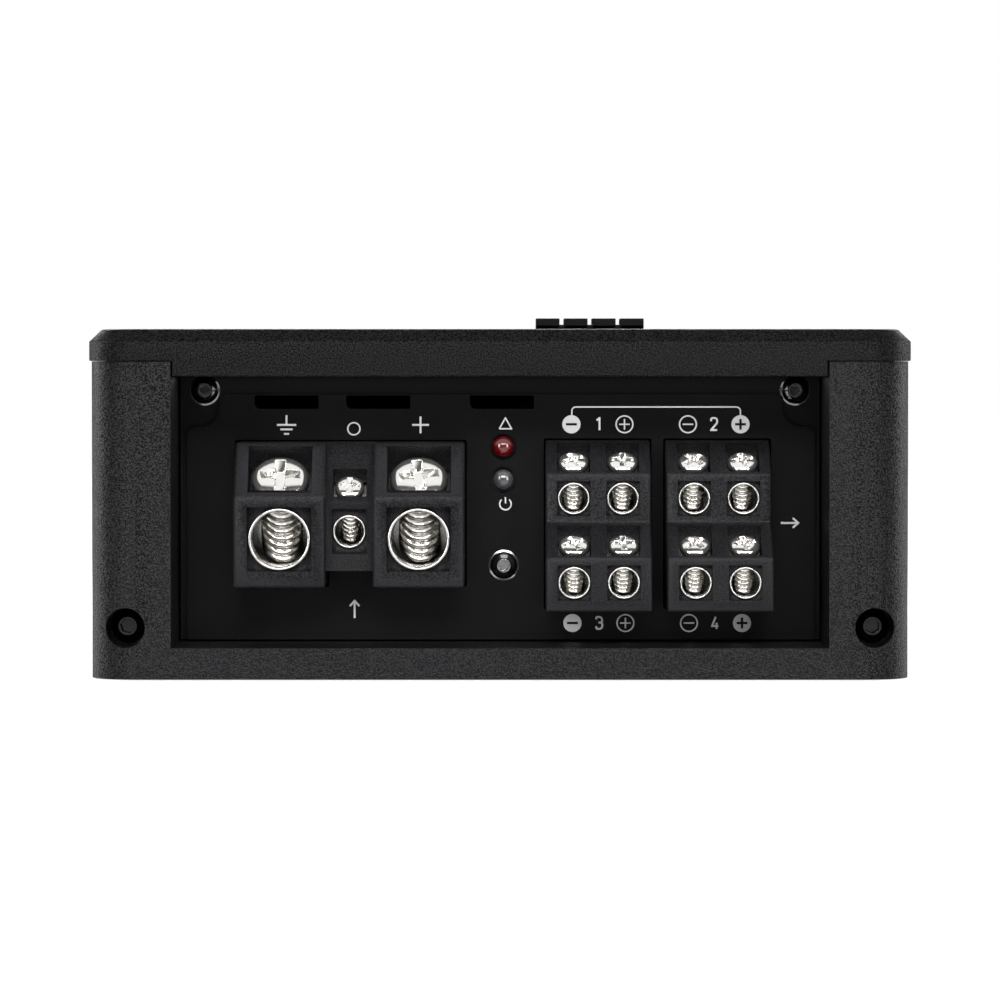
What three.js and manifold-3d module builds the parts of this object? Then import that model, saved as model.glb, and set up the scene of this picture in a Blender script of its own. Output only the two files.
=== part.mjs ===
// Compact four channel car amplifier, in millimetres, +Z up.
// The origin is the middle of the underside. The terminal end faces -Y, the input end +Y.
//
// Both ends are laid out in the same way: x to the right as one looks at that end, z up from
// the underside, and "depth" measured inwards from the end's outer plane. The input end is
// the same layout turned half a turn about Z.
import * as THREE from 'three';
import { mergeVertices } from 'three/addons/utils/BufferGeometryUtils.js';
import Module from 'manifold-3d';

const wasm = await Module();
wasm.setup();

// ---------------------------------------------------------------- driving dimensions
const WIDTH = 126.2;
const LENGTH = 200;
const HEIGHT = 53.5;
const CORNER_RADIUS = 8;
const GAP = 0.3;                      // between pieces that rest on or in each other
const FINE = 16;                      // sides of the larger round features
const COARSE = 12;                    // sides of the small round features

const COVER_WALL = 2.2;
const COVER_CHAMFER = { across: 2.2, down: 1.8 };
const COVER_SKIRT_LOW = 48.6;         // lower edge of the cover on the posts and the sides
const COVER_LIP_LOW = 46.25;          // lower edge of the cover between the posts
const COVER_BOSS = { x: 47.2, y: 70, radius: 3, pilotRadius: 1.7, pilotTop: 16 };
const COVER_SCREW_SINK = { radius: 3.1, depth: 2.2 };

const FRAME_INSET = 0.4;              // the frames stand this far inside the cover's outline
const FRAME_DEPTH = 26;
const RECESS_HALF = 50.2;             // half the width between the posts
const RAIL_TOP = 4.8;
const FRAME_SCREW = { x: 57.2, z: 7.9, sinkRadius: 3.05, sinkDepth: 9, tip: 38 };
const FRAME_LUG = { inner: 41.5, low: 39 };
const CENTRE_TAB = { half: 3.5, high: 21 };
const SCREW_HOLE = 1.8;               // radius of the hole for every small screw

const WALL_INNER = 51;
const WALL_OUTER = WIDTH / 2 - 0.7;
const FLOOR_TOP = 4;
const FIN_GROOVE = { width: 2.8, depth: 6.5, pitch: 5.8, count: 6, lowest: 14 };
const STANDOFF = { x: 38, y: 62, radius: 3, top: 7.7 };

const PANEL = { half: 49.9, low: 5.1, high: 50.8, front: 22, thickness: 1.5 };
const PLATEAU = { left: -48.8, right: 49.1, high: 43.35, front: 21, notch: 5.1 };
const PANEL_SCREW = { x: 46.1, z: 44 };
const CENTRE_SCREW = { x: 0.6, z: 16.7 };
const VENT = { low: 41.1, high: 43.2, length: 10 };
const FRONT_VENTS = [-38.3, -24, -4.7];
const REAR_VENTS = [-41.5, -30, -18.5];
const PANEL_CUT = [18, 28];           // depths between which a panel's openings are cut

// The button headed screws; length is the threaded part under the head.
const PANEL_FASTENER = { head: 2.15, headHeight: 1.5, shank: 1.45, length: 5 };
const FRAME_FASTENER = { head: 2.5, headHeight: 2, shank: 1.45, length: 26 };
const COVER_FASTENER = { head: 2.7, headHeight: 1.6, shank: 1.35, length: 11.5 };

const BOARD = { half: 43, front: 27.5, back: 172.5, low: 8, high: 9.6 };
const TERMINAL_BACK = 34;

// The clamps of the terminals. wireZ is the height of the wire hole, and screwAt the point
// (depth, height) where the screw's axis leaves the slanted face, which rises by "slope".
// windowSlope is the length of the screw's opening, measured up the slanted face.
const POWER_CELL = {
  slope: 45, window: 9.7, windowHeight: 9.9, windowSlope: 9.1, front: 8.1,
  wireZ: 21.15, screwAt: [12.25, 31.85], bore: 4.1, collar: 4.55,
  head: 4.25, headHeight: 2.4, headSunk: 0.6, shank: 3.1, tip: 16.4, tailWidth: 7, tail: 35.5,
};
const REMOTE_CELL = {
  slope: 45, window: 5.3, windowHeight: 6.9, windowSlope: 5.9, front: 10,
  wireZ: 22.3, screwAt: [12.9, 29.8], bore: 2.2, collar: 2.35,
  head: 2.2, headHeight: 1.5, headSunk: 0.3, shank: 1.5, tip: 10.6, tailWidth: 3, tail: 35.5,
};
const SPEAKER_LOWER = {
  slope: 34.4, window: 5.15, windowHeight: 5.4, windowSlope: 7.8, front: 5.7,
  wireZ: 14.55, screwAt: [9.4, 20.93], bore: 2.15, collar: 2.3,
  head: 2.25, headHeight: 1.5, headSunk: 0.3, shank: 1.45, tip: 8.9, tailWidth: 3, tail: 35.2,
};
const SPEAKER_UPPER = {
  ...SPEAKER_LOWER, front: 13.3, wireZ: 27.3, screwAt: [17, 33.63], tail: 37.6,
};
const POWER_BLOCK = {
  gnd: [-41.1, -26.9], remote: [-26.95, -19.55], plus: [-19.6, -5.45], low: 13.6, high: 36,
  ridge: 27.7, remoteLow: 16.25, remoteRidge: 26.9, back: 20,
};
const SPEAKER_BLOCK = {
  centres: [15.22, 33.88], width: 16.3, pitch: 7.62, low: 10.1, lowerRidge: 18.4,
  upperLow: 23.6, upperRidge: 31.1, high: 36.25,
};
const LED = {
  x: 0.5, heights: { pro: 35.2, pwr: 30.05 }, radius: 1.6, hole: 2.1, nose: 18.9,
  flange: { radius: 2.5, front: 24.2, back: 25.4 }, legApart: 0.95, legHalf: 0.25,
  bends: { pro: 29.6, pwr: 28.2 },
};

// Input end, x to the right as seen from behind.
const RCA = {
  xs: [-35, -21], zs: [31, 17], sleeve: 4.15, liner: 3.1, contact: 1.6, nose: 11.5,
  block: { x: [-43, -13], depth: [25.1, 36], z: [9.9, 38.5] },
  plate: { x: [-42, -14], depth: [24, 24.8], z: [11, 37] },
};
const KNOB = { xs: [0, 12.5, 25, 37.5], z: 31, radius: 3.2, front: 15.5, back: 25.6 };
const SWITCH = { xs: [6.25, 31.25], z: 16, travel: 2.2, wide: 3, high: 3.4, front: 17.5 };
const KNOB_SLOT = { half: 0.5, deep: 1.1 };
const SWITCH_FOOT = { halfX: 2.4, halfZ: 2.6, depth: [24.2, 25.4] };
const CONTROL_BOARD = {
  left: -6, right: 44, low: 9.9, high: 40, front: 31, thickness: 1.6, bodiesFrom: 26,
  potHalf: 4.75, switchHalfX: 5.6, switchHalfZ: 3,
};

const BADGE = {
  left: 5.7, depth: 36, length: 9, base: 0.5, rise: 1.5, widths: [2.6, 3.1, 5.6, 3.7], space: 0.7,
};
const TRANSFORMER = { x: -19, y: -2, inner: 7, outer: 18, low: 9.9, high: 29 };
const CAPACITOR = { x: 12, y: -30, radius: 9, low: 9.9, high: 42 };
const TRANSISTOR_BAR = { x: [35.5, 42.5], y: [-45, 45], z: [9.9, 23] };

// ---------------------------------------------------------------- finishes
const finish = (color, roughness, metalness) => ({ color, roughness, metalness });
const POWDER_BLACK = finish(0x1b1b1d, 0.7, 0.1);
const SATIN_BLACK = finish(0x0b0b0c, 0.45, 0);
const TERMINAL_PLASTIC = finish(0x2b2b2d, 0.75, 0);
const NICKEL = finish(0xc9c7c2, 0.25, 1);
const BLACK_ZINC = finish(0x1a1a1c, 0.4, 0.8);
const BOARD_GREEN = finish(0x1d4a2c, 0.6, 0);
const RED_LENS = finish(0x8c0d12, 0.2, 0);
const GREY_LENS = finish(0x6a6a6a, 0.2, 0);
const COPPER = finish(0x9a5a2e, 0.4, 0.8);
const DARK_SLEEVE = finish(0x232a3a, 0.5, 0);
const ALUMINIUM = finish(0x9b9ca0, 0.45, 0.9);

// ---------------------------------------------------------------- geometry helpers
const inwards = (depth) => depth - LENGTH / 2;

function toSolid(geometry) {
  const bare = geometry.clone();
  bare.deleteAttribute('normal');
  bare.deleteAttribute('uv');
  const merged = mergeVertices(bare, 1e-4);
  const index = merged.index.array;
  const triangles = [];
  for (let i = 0; i < index.length; i += 3) {
    const [a, b, c] = [index[i], index[i + 1], index[i + 2]];
    if (a !== b && b !== c && c !== a) triangles.push(a, b, c);
  }
  return new wasm.Manifold(new wasm.Mesh({
    numProp: 3,
    vertProperties: new Float32Array(merged.attributes.position.array),
    triVerts: new Uint32Array(triangles),
  }));
}

function toGeometry(solid) {
  const mesh = solid.getMesh();
  const geometry = new THREE.BufferGeometry();
  geometry.setAttribute('position', new THREE.BufferAttribute(mesh.vertProperties, 3));
  geometry.setIndex(new THREE.BufferAttribute(mesh.triVerts, 1));
  return geometry;
}

const join = (...solids) => solids.reduce((whole, next) => whole.add(next));
const cut = (solid, ...tools) => tools.reduce((rest, tool) => rest.subtract(tool), solid);

// A box between two corners.
function block([x0, x1], [y0, y1], [z0, z1]) {
  const geometry = new THREE.BoxGeometry(x1 - x0, y1 - y0, z1 - z0);
  return toSolid(geometry.translate((x0 + x1) / 2, (y0 + y1) / 2, (z0 + z1) / 2));
}

// A box whose y range is given as depths behind the end's outer plane.
const slab = (xs, depths, zs) => block(xs, depths.map(inwards), zs);

function extrude(shape, height, options = {}) {
  return new THREE.ExtrudeGeometry(shape, { depth: height, bevelEnabled: false, ...options });
}

const polygon = (points) => new THREE.Shape(points.map(([u, v]) => new THREE.Vector2(u, v)));

// A side view of (y, z) points, swept across from x0 to x1.
function acrossX(points, [x0, x1]) {
  const geometry = extrude(polygon(points), x1 - x0);
  const axes = new THREE.Matrix4().makeBasis(
    new THREE.Vector3(0, 1, 0), new THREE.Vector3(0, 0, 1), new THREE.Vector3(1, 0, 0));
  return toSolid(geometry.applyMatrix4(axes).translate(x0, 0, 0));
}

// A front view of (x, z) points, swept from y0 back to y1.
function alongY(shape, [y0, y1]) {
  const geometry = extrude(shape, y1 - y0, { curveSegments: 4 });
  const axes = new THREE.Matrix4().makeBasis(
    new THREE.Vector3(1, 0, 0), new THREE.Vector3(0, 0, 1), new THREE.Vector3(0, -1, 0));
  return toSolid(geometry.applyMatrix4(axes).translate(0, y1, 0));
}

// A turned solid: (radius, height) points from one end of the axis to the other.
function turned(points, sides) {
  const profile = points.map(([r, h]) => new THREE.Vector2(r, h));
  return toSolid(new THREE.LatheGeometry(profile, sides));
}

const rod = (radius, [from, to], sides = FINE) =>
  turned([[0, from], [radius, from], [radius, to], [0, to]], sides);

// Turns a solid made about the Y axis so that its axis runs along Z, standing at (x, y).
const upright = (solid, x, y) => solid.rotate([90, 0, 0]).translate([x, y, 0]);

// A rod along Y at (x, z), between two depths behind the end's outer plane.
function pin(radius, x, z, depths, sides = FINE) {
  return rod(radius, depths.map(inwards), sides).translate([x, 0, z]);
}

function roundedRectangle(halfX, halfY, radius) {
  const shape = new THREE.Shape();
  const [cx, cy] = [halfX - radius, halfY - radius];
  const quarter = Math.PI / 2;
  [[cx, -cy], [cx, cy], [-cx, cy], [-cx, -cy]].forEach(([x, y], corner) => {
    shape.absarc(x, y, radius, (corner - 1) * quarter, corner * quarter, false);
  });
  shape.closePath();
  return shape;
}

const root = new THREE.Group();
const terminalEnd = new THREE.Group();
const inputEnd = new THREE.Group();
inputEnd.rotation.z = Math.PI;
root.add(terminalEnd, inputEnd);

function piece(name, solid, look, parent = root) {
  const mesh = new THREE.Mesh(toGeometry(solid), new THREE.MeshStandardMaterial(look));
  mesh.name = name;
  parent.add(mesh);
  return mesh;
}

// ---------------------------------------------------------------- case
function topCover() {
  const outer = (height) => extrude(
    roundedRectangle(WIDTH / 2, LENGTH / 2, CORNER_RADIUS), height,
    {
      curveSegments: 5, bevelEnabled: true, bevelSegments: 1, bevelThickness: COVER_CHAMFER.down,
      bevelSize: COVER_CHAMFER.across, bevelOffset: -COVER_CHAMFER.across,
    });
  const skirtHeight = HEIGHT - COVER_LIP_LOW;
  const shell = toSolid(outer(skirtHeight).translate(
    0, 0, HEIGHT - COVER_CHAMFER.down - skirtHeight));
  const hollow = toSolid(extrude(
    roundedRectangle(WIDTH / 2 - COVER_WALL, LENGTH / 2 - COVER_WALL, CORNER_RADIUS - COVER_WALL),
    40, { curveSegments: 5 }).translate(0, 0, HEIGHT - COVER_WALL - 40));
  const below = block([-WIDTH, WIDTH], [-LENGTH, LENGTH], [0, COVER_LIP_LOW]);
  const sides = [[-WIDTH, -RECESS_HALF + GAP], [RECESS_HALF - GAP, WIDTH]].map(
    (xs) => block(xs, [-LENGTH, LENGTH], [0, COVER_SKIRT_LOW]));
  let cover = cut(shell, hollow, below, ...sides);
  const ceiling = HEIGHT - COVER_WALL;
  for (const x of [-COVER_BOSS.x, COVER_BOSS.x]) {
    for (const y of [-COVER_BOSS.y, COVER_BOSS.y]) {
      const boss = upright(rod(COVER_BOSS.radius, [FLOOR_TOP + GAP, ceiling + 0.5], COARSE), x, y);
      const pilot = upright(rod(COVER_BOSS.pilotRadius, [0, COVER_BOSS.pilotTop], COARSE), x, y);
      cover = cut(join(cover, boss), pilot);
    }
  }
  return cover;
}

// The U shaped end casting: two posts with a rounded outer corner, joined by a bottom rail.
function endFrame(hasCentreTab) {
  const half = WIDTH / 2 - FRAME_INSET;
  const front = inwards(FRAME_INSET);
  const back = inwards(FRAME_DEPTH);
  const radius = CORNER_RADIUS - FRAME_INSET;
  const plan = new THREE.Shape();
  plan.moveTo(half, back);
  plan.lineTo(-half, back);
  plan.absarc(-half + radius, front + radius, radius, Math.PI, 1.5 * Math.PI, false);
  plan.absarc(half - radius, front + radius, radius, 1.5 * Math.PI, 2 * Math.PI, false);
  plan.closePath();
  const postTop = COVER_SKIRT_LOW - GAP;
  const body = toSolid(extrude(plan, postTop, { curveSegments: 5 }));
  const recess = slab([-RECESS_HALF, RECESS_HALF], [-5, FRAME_DEPTH + 5], [RAIL_TOP, HEIGHT]);
  const lugFront = PANEL.front + PANEL.thickness + GAP;
  const lugs = [-1, 1].map((side) => slab(
    [FRAME_LUG.inner, RECESS_HALF + 0.5].map((x) => x * side).sort((a, b) => a - b),
    [lugFront, FRAME_DEPTH], [FRAME_LUG.low, postTop]));
  let frame = join(cut(body, recess), ...lugs);
  if (hasCentreTab) {
    const { half: tabHalf, high } = CENTRE_TAB;
    const tab = slab([CENTRE_SCREW.x - tabHalf, CENTRE_SCREW.x + tabHalf],
      [lugFront, FRAME_DEPTH], [RAIL_TOP - 1, high]);
    frame = cut(join(frame, tab),
      pin(SCREW_HOLE, CENTRE_SCREW.x, CENTRE_SCREW.z, [20, 30], COARSE));
  }
  for (const side of [-1, 1]) {
    const { x, z, sinkRadius, sinkDepth } = FRAME_SCREW;
    frame = cut(frame,
      pin(sinkRadius, x * side, z, [-2, sinkDepth]),
      pin(SCREW_HOLE, x * side, z, [0, FRAME_DEPTH + 2], COARSE),
      pin(SCREW_HOLE, PANEL_SCREW.x * side, PANEL_SCREW.z, [20, 30], COARSE));
  }
  return frame;
}

// The extruded body: a floor and two finned walls, one section swept along the length.
function heatsink() {
  const wallTop = COVER_SKIRT_LOW - GAP;
  const side = [[WALL_OUTER, 0]];
  for (let fin = 0; fin < FIN_GROOVE.count; fin += 1) {
    const low = FIN_GROOVE.lowest + fin * FIN_GROOVE.pitch;
    const floor = WALL_OUTER - FIN_GROOVE.depth;
    side.push([WALL_OUTER, low], [floor, low + 0.4]);
    side.push([floor, low + FIN_GROOVE.width - 0.4], [WALL_OUTER, low + FIN_GROOVE.width]);
  }
  side.push([WALL_OUTER, wallTop], [WALL_INNER, wallTop], [WALL_INNER, FLOOR_TOP]);
  const mirrored = side.map(([x, z]) => [-x, z]).reverse();
  const ends = [inwards(FRAME_DEPTH + GAP), -inwards(FRAME_DEPTH + GAP)];
  let body = alongY(polygon([...side, ...mirrored]), ends);
  for (const x of [-1, 1]) {
    for (const y of [-1, 1]) {
      const standoff = upright(rod(STANDOFF.radius, [FLOOR_TOP - 1, STANDOFF.top], COARSE),
        x * STANDOFF.x, y * STANDOFF.y);
      const place = [x * COVER_BOSS.x, y * COVER_BOSS.y];
      const sink = upright(
        rod(COVER_SCREW_SINK.radius, [-1, COVER_SCREW_SINK.depth], COARSE), ...place);
      const hole = upright(rod(SCREW_HOLE, [-1, FLOOR_TOP + 1], COARSE), ...place);
      const bore = rod(SCREW_HOLE, [FRAME_DEPTH, FRAME_SCREW.tip + 1].map(inwards), COARSE)
        .translate([x * FRAME_SCREW.x, 0, FRAME_SCREW.z]);
      body = cut(join(body, standoff), sink, hole, y < 0 ? bore : bore.mirror([0, 1, 0]));
    }
  }
  return body;
}

piece('top_cover', topCover(), POWDER_BLACK);
piece('front_frame', endFrame(true), POWDER_BLACK, terminalEnd);
piece('rear_frame', endFrame(false), POWDER_BLACK, inputEnd);
piece('heatsink', heatsink(), POWDER_BLACK);

// ---------------------------------------------------------------- end panels
// A flat plate with a raised middle, notched in two quarter rounds about its upper screws.
function endPanel(cutters) {
  const { half, low, high, front, thickness } = PANEL;
  const plate = slab([-half, half], [front, front + thickness], [low, high]);
  const raised = new THREE.Shape();
  raised.moveTo(PLATEAU.left, low);
  raised.lineTo(PLATEAU.right, low);
  raised.lineTo(PLATEAU.right, PLATEAU.high - PLATEAU.notch);
  raised.absarc(PLATEAU.right, PLATEAU.high, PLATEAU.notch, 1.5 * Math.PI, Math.PI, true);
  raised.lineTo(PLATEAU.left + PLATEAU.notch, PLATEAU.high);
  raised.absarc(PLATEAU.left, PLATEAU.high, PLATEAU.notch, 0, -0.5 * Math.PI, true);
  raised.closePath();
  const plateau = alongY(raised, [PLATEAU.front, front + 0.5].map(inwards));
  const screwHoles = [-1, 1].map((side) =>
    pin(SCREW_HOLE, PANEL_SCREW.x * side, PANEL_SCREW.z, PANEL_CUT, COARSE));
  return cut(join(plate, plateau), ...screwHoles, ...cutters);
}

const through = (xs, zs) => slab(xs, PANEL_CUT, zs);

const ventSlots = (lefts) =>
  lefts.map((left) => through([left, left + VENT.length], [VENT.low, VENT.high]));

const powerSpan = [POWER_BLOCK.gnd[0], POWER_BLOCK.plus[1]];
const speakerSpan = (centre) => [centre - SPEAKER_BLOCK.width / 2, centre + SPEAKER_BLOCK.width / 2];
const grown = ([low, high]) => [low - GAP, high + GAP];

piece('front_panel', endPanel([
  ...ventSlots(FRONT_VENTS),
  through(grown(powerSpan), grown([POWER_BLOCK.low, POWER_BLOCK.high])),
  ...SPEAKER_BLOCK.centres.map((centre) =>
    through(grown(speakerSpan(centre)), grown([SPEAKER_BLOCK.low, SPEAKER_BLOCK.high]))),
  ...Object.values(LED.heights).map((z) => pin(LED.hole, LED.x, z, PANEL_CUT, COARSE)),
  pin(SCREW_HOLE, CENTRE_SCREW.x, CENTRE_SCREW.z, PANEL_CUT, COARSE),
]), SATIN_BLACK, terminalEnd);

piece('rear_panel', endPanel([
  ...ventSlots(REAR_VENTS),
  ...RCA.xs.flatMap((x) => RCA.zs.map((z) => pin(RCA.sleeve + GAP, x, z, PANEL_CUT))),
  ...KNOB.xs.map((x) => pin(KNOB.radius + 0.5, x, KNOB.z, PANEL_CUT)),
  ...SWITCH.xs.map((x) => {
    const reach = SWITCH.wide / 2 + SWITCH.travel + 0.4;
    const rise = SWITCH.high / 2 + 0.4;
    return through([x - reach, x + reach], [SWITCH.z - rise, SWITCH.z + rise]);
  }),
]), SATIN_BLACK, inputEnd);

// ---------------------------------------------------------------- terminal blocks
const radians = THREE.MathUtils.degToRad;

// Pieces made down the -Y axis are turned by this angle about X to lie on a clamp screw's axis,
// square to the slanted face.
const screwTilt = (cell) => 90 + cell.slope;
const screwOrigin = (cell) => [cell.screwAt[0] - cell.front, cell.screwAt[1] - cell.wireZ];
const headSeat = (cell) => cell.headSunk + cell.headHeight + GAP;
const screwReach = (cell) =>
  (cell.screwAt[1] - cell.wireZ) / Math.cos(radians(cell.slope));

// A box about the clamp screw's axis: half sizes across x and across the slope, and its span
// along the axis from the slanted face inwards. Made in the cell's own frame, whose origin
// is the middle of the wire hole in the front face.
function alongScrew(cell, halfX, halfSlope, [from, to]) {
  const geometry = new THREE.BoxGeometry(halfX * 2, to - from, halfSlope * 2);
  geometry.translate(0, -(from + to) / 2, 0);
  geometry.rotateX(radians(screwTilt(cell)));
  return toSolid(geometry.translate(0, ...screwOrigin(cell)));
}

function screwHole(cell) {
  const radius = cell.shank + GAP;
  return rod(radius, [-(cell.tip + 1), 1], COARSE)
    .rotate([screwTilt(cell), 0, 0])
    .translate([0, ...screwOrigin(cell)]);
}

// What one cell takes out of its housing: the wire window, the room for the clamp, which is
// open at the back, the opening for the screw's head and the shaft that its shank goes down.
function cellCutters(cell, x) {
  const half = cell.window / 2;
  const rise = cell.windowHeight / 2;
  const depth = TERMINAL_BACK + 2 - cell.front;
  const tunnel = block([-half, half], [-2, depth], [-rise, rise]);
  const opening = alongScrew(cell, half, cell.windowSlope / 2, [-2, headSeat(cell)]);
  const shaft = alongScrew(cell, half, half, [0, screwReach(cell)]);
  return join(tunnel, opening, shaft).translate([x, inwards(cell.front), cell.wireZ]);
}

function housing(profiles, cells) {
  const body = join(...profiles.map(([points, span]) =>
    acrossX(points.map(([depth, z]) => [inwards(depth), z]), span)));
  return cut(body, ...cells.map(([cell, x]) => cellCutters(cell, x)));
}

const middle = ([low, high]) => (low + high) / 2;

function powerHousing() {
  const { gnd, remote, plus, low, high, ridge, remoteLow, remoteRidge, back } = POWER_BLOCK;
  const stepped = (front, bottom, edge) => [
    [back, bottom], [front, bottom], [front, edge], [front + high - edge, high], [back, high],
  ];
  const main = stepped(POWER_CELL.front, low, ridge);
  return housing([
    [main, gnd],
    [stepped(REMOTE_CELL.front, remoteLow, remoteRidge), remote],
    [main, plus],
    [[[back - 0.5, low], [TERMINAL_BACK, low], [TERMINAL_BACK, high], [back - 0.5, high]].reverse(),
      [gnd[0], plus[1]]],
  ], [[POWER_CELL, middle(gnd)], [REMOTE_CELL, middle(remote)], [POWER_CELL, middle(plus)]]);
}

const speakerColumns = (centre) => [-1, 1].map((side) => centre + side * SPEAKER_BLOCK.pitch / 2);

function speakerHousing(centre) {
  const { low, lowerRidge, upperLow, upperRidge, high } = SPEAKER_BLOCK;
  const step = SPEAKER_UPPER.front - SPEAKER_LOWER.front;
  const profile = [
    [TERMINAL_BACK, low], [TERMINAL_BACK, high], [SPEAKER_UPPER.front + step, high],
    [SPEAKER_UPPER.front, upperRidge], [SPEAKER_UPPER.front, upperLow],
    [SPEAKER_LOWER.front, lowerRidge], [SPEAKER_LOWER.front, low],
  ];
  const cells = speakerColumns(centre).flatMap((x) => [[SPEAKER_LOWER, x], [SPEAKER_UPPER, x]]);
  return housing([[profile, speakerSpan(centre)]], cells);
}

// The metal clamp of one cell: a round collar in the window, a block behind it, a boss that
// rises to the screw's head, and a tail that turns down to the board.
function clamp(cell) {
  const half = cell.window / 2 - GAP;
  const rise = cell.windowHeight / 2 - GAP;
  const collarBack = 3;
  const tailBack = cell.tail - cell.front;
  const sides = cell.bore > 3 ? FINE : COARSE;
  const collar = rod(cell.collar, [0.9, collarBack + 0.5], sides);
  const body = block([-half, half], [collarBack, tailBack], [-rise, rise]);
  const boss = alongScrew(cell, half, half - 0.15, [headSeat(cell), screwReach(cell)]);
  const tailLow = BOARD.high + GAP - cell.wireZ;
  const tail = block([-cell.tailWidth / 2, cell.tailWidth / 2], [tailBack - 0.9, tailBack],
    [tailLow, 0]);
  const bore = rod(cell.bore, [0, tailBack - 3], sides);
  return cut(join(collar, body, boss, tail), bore, screwHole(cell));
}

function domedScrew({ head, headHeight, shank, length }, sides = COARSE) {
  return turned([
    [0, -headHeight - length], [shank, -headHeight - length], [shank, -headHeight],
    [head, -headHeight],
    [head, -headHeight * 0.4], [head * 0.6, 0], [0, 0],
  ], sides);
}

// A clamp screw, its head a little below the slanted face.
function clampScrew(name, cell, x, solid) {
  const mesh = piece(name, solid, NICKEL, terminalEnd);
  mesh.position.set(x, inwards(cell.screwAt[0]), cell.screwAt[1]);
  mesh.rotation.x = radians(screwTilt(cell));
  mesh.translateY(-cell.headSunk);
}

const screwFor = (cell, sides) => domedScrew({
  head: cell.head, headHeight: cell.headHeight, shank: cell.shank,
  length: cell.tip - cell.headSunk - cell.headHeight,
}, sides);

function cellPieces(label, cell, x, clampSolid, screwSolid) {
  const holder = piece(`${label}_clamp`, clampSolid, NICKEL, terminalEnd);
  holder.position.set(x, inwards(cell.front), cell.wireZ);
  clampScrew(`${label}_clamp_screw`, cell, x, screwSolid);
}

piece('power_terminal_block', powerHousing(), TERMINAL_PLASTIC, terminalEnd);
const powerClamp = clamp(POWER_CELL);
const powerScrew = screwFor(POWER_CELL, FINE);
cellPieces('ground', POWER_CELL, middle(POWER_BLOCK.gnd), powerClamp, powerScrew);
cellPieces('supply', POWER_CELL, middle(POWER_BLOCK.plus), powerClamp, powerScrew);
cellPieces('remote', REMOTE_CELL, middle(POWER_BLOCK.remote), clamp(REMOTE_CELL),
  screwFor(REMOTE_CELL, COARSE));

const deckPieces = [['upper', SPEAKER_UPPER], ['lower', SPEAKER_LOWER]].map(
  ([name, cell]) => ({ name, cell, clamp: clamp(cell), screw: screwFor(cell, COARSE) }));
['left', 'right'].forEach((side, number) => {
  const centre = SPEAKER_BLOCK.centres[number];
  piece(`speaker_terminal_block_${side}`, speakerHousing(centre), TERMINAL_PLASTIC, terminalEnd);
  speakerColumns(centre).forEach((x, column) => {
    for (const deck of deckPieces) {
      cellPieces(`speaker_${side}_${deck.name}_${column + 1}`, deck.cell, x, deck.clamp, deck.screw);
    }
  });
});

// ---------------------------------------------------------------- indicator lights
// A round lens with a flange behind the panel, on two legs that bend down to the board.
function indicator(z, bend) {
  const { x, nose, radius, flange, legApart, legHalf } = LED;
  const tube = turned([
    [0, inwards(nose)], [radius * 0.7, inwards(nose + 0.4)], [radius, inwards(nose + 1.4)],
    [radius, inwards(flange.front)], [flange.radius, inwards(flange.front)],
    [flange.radius, inwards(flange.back)], [0, inwards(flange.back)],
  ], COARSE).translate([x, 0, z]);
  const legs = [-legApart, legApart].flatMap((offset) => {
    const xs = [x + offset - legHalf, x + offset + legHalf];
    return [
      slab(xs, [flange.back - 0.4, bend], [z - legHalf, z + legHalf]),
      slab(xs, [bend - 2 * legHalf, bend], [BOARD.high + GAP, z + legHalf]),
    ];
  });
  return join(tube, ...legs);
}

piece('indicator_pro', indicator(LED.heights.pro, LED.bends.pro), RED_LENS, terminalEnd);
piece('indicator_pwr', indicator(LED.heights.pwr, LED.bends.pwr), GREY_LENS, terminalEnd);

// ---------------------------------------------------------------- fasteners
const panelScrewSolid = domedScrew(PANEL_FASTENER);
const frameScrewSolid = domedScrew(FRAME_FASTENER);
const coverScrewSolid = domedScrew(COVER_FASTENER);

// A screw driven inwards from an end, its head's top at the given depth.
function endScrew(name, solid, x, z, depth, parent) {
  const mesh = piece(name, solid, BLACK_ZINC, parent);
  mesh.position.set(x, inwards(depth), z);
  mesh.rotation.x = Math.PI;
}

const panelHeadTop = PANEL.front - GAP - PANEL_FASTENER.headHeight;
for (const [end, parent] of [['front', terminalEnd], ['rear', inputEnd]]) {
  for (const [side, sign] of [['left', -1], ['right', 1]]) {
    endScrew(`${end}_panel_screw_${side}`, panelScrewSolid, sign * PANEL_SCREW.x, PANEL_SCREW.z,
      panelHeadTop, parent);
    endScrew(`${end}_frame_screw_${side}`, frameScrewSolid, sign * FRAME_SCREW.x, FRAME_SCREW.z,
      FRAME_SCREW.sinkDepth - GAP - FRAME_FASTENER.headHeight, parent);
  }
}
endScrew('front_panel_screw_centre', panelScrewSolid, CENTRE_SCREW.x, CENTRE_SCREW.z,
  PLATEAU.front - GAP - PANEL_FASTENER.headHeight, terminalEnd);

[[-1, -1], [1, -1], [-1, 1], [1, 1]].forEach(([x, y], number) => {
  const mesh = piece(`cover_screw_${number + 1}`, coverScrewSolid, BLACK_ZINC);
  mesh.position.set(x * COVER_BOSS.x, y * COVER_BOSS.y,
    COVER_SCREW_SINK.depth - GAP - COVER_FASTENER.headHeight);
  mesh.rotation.x = -Math.PI / 2;
});

// ---------------------------------------------------------------- input end
const rcaPlaces = RCA.xs.flatMap((x) => RCA.zs.map((z) => [x, z]));

// The moulded block behind the phono sockets, with an insulating liner for each.
function rcaBlock() {
  const box = slab(RCA.block.x, RCA.block.depth, RCA.block.z);
  const liners = rcaPlaces.map(([x, z]) => pin(RCA.liner, x, z, [RCA.nose + 1, 26]));
  const contacts = rcaPlaces.map(([x, z]) => pin(RCA.contact, x, z, [0, 22], COARSE));
  return cut(join(box, ...liners), ...contacts);
}

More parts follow.
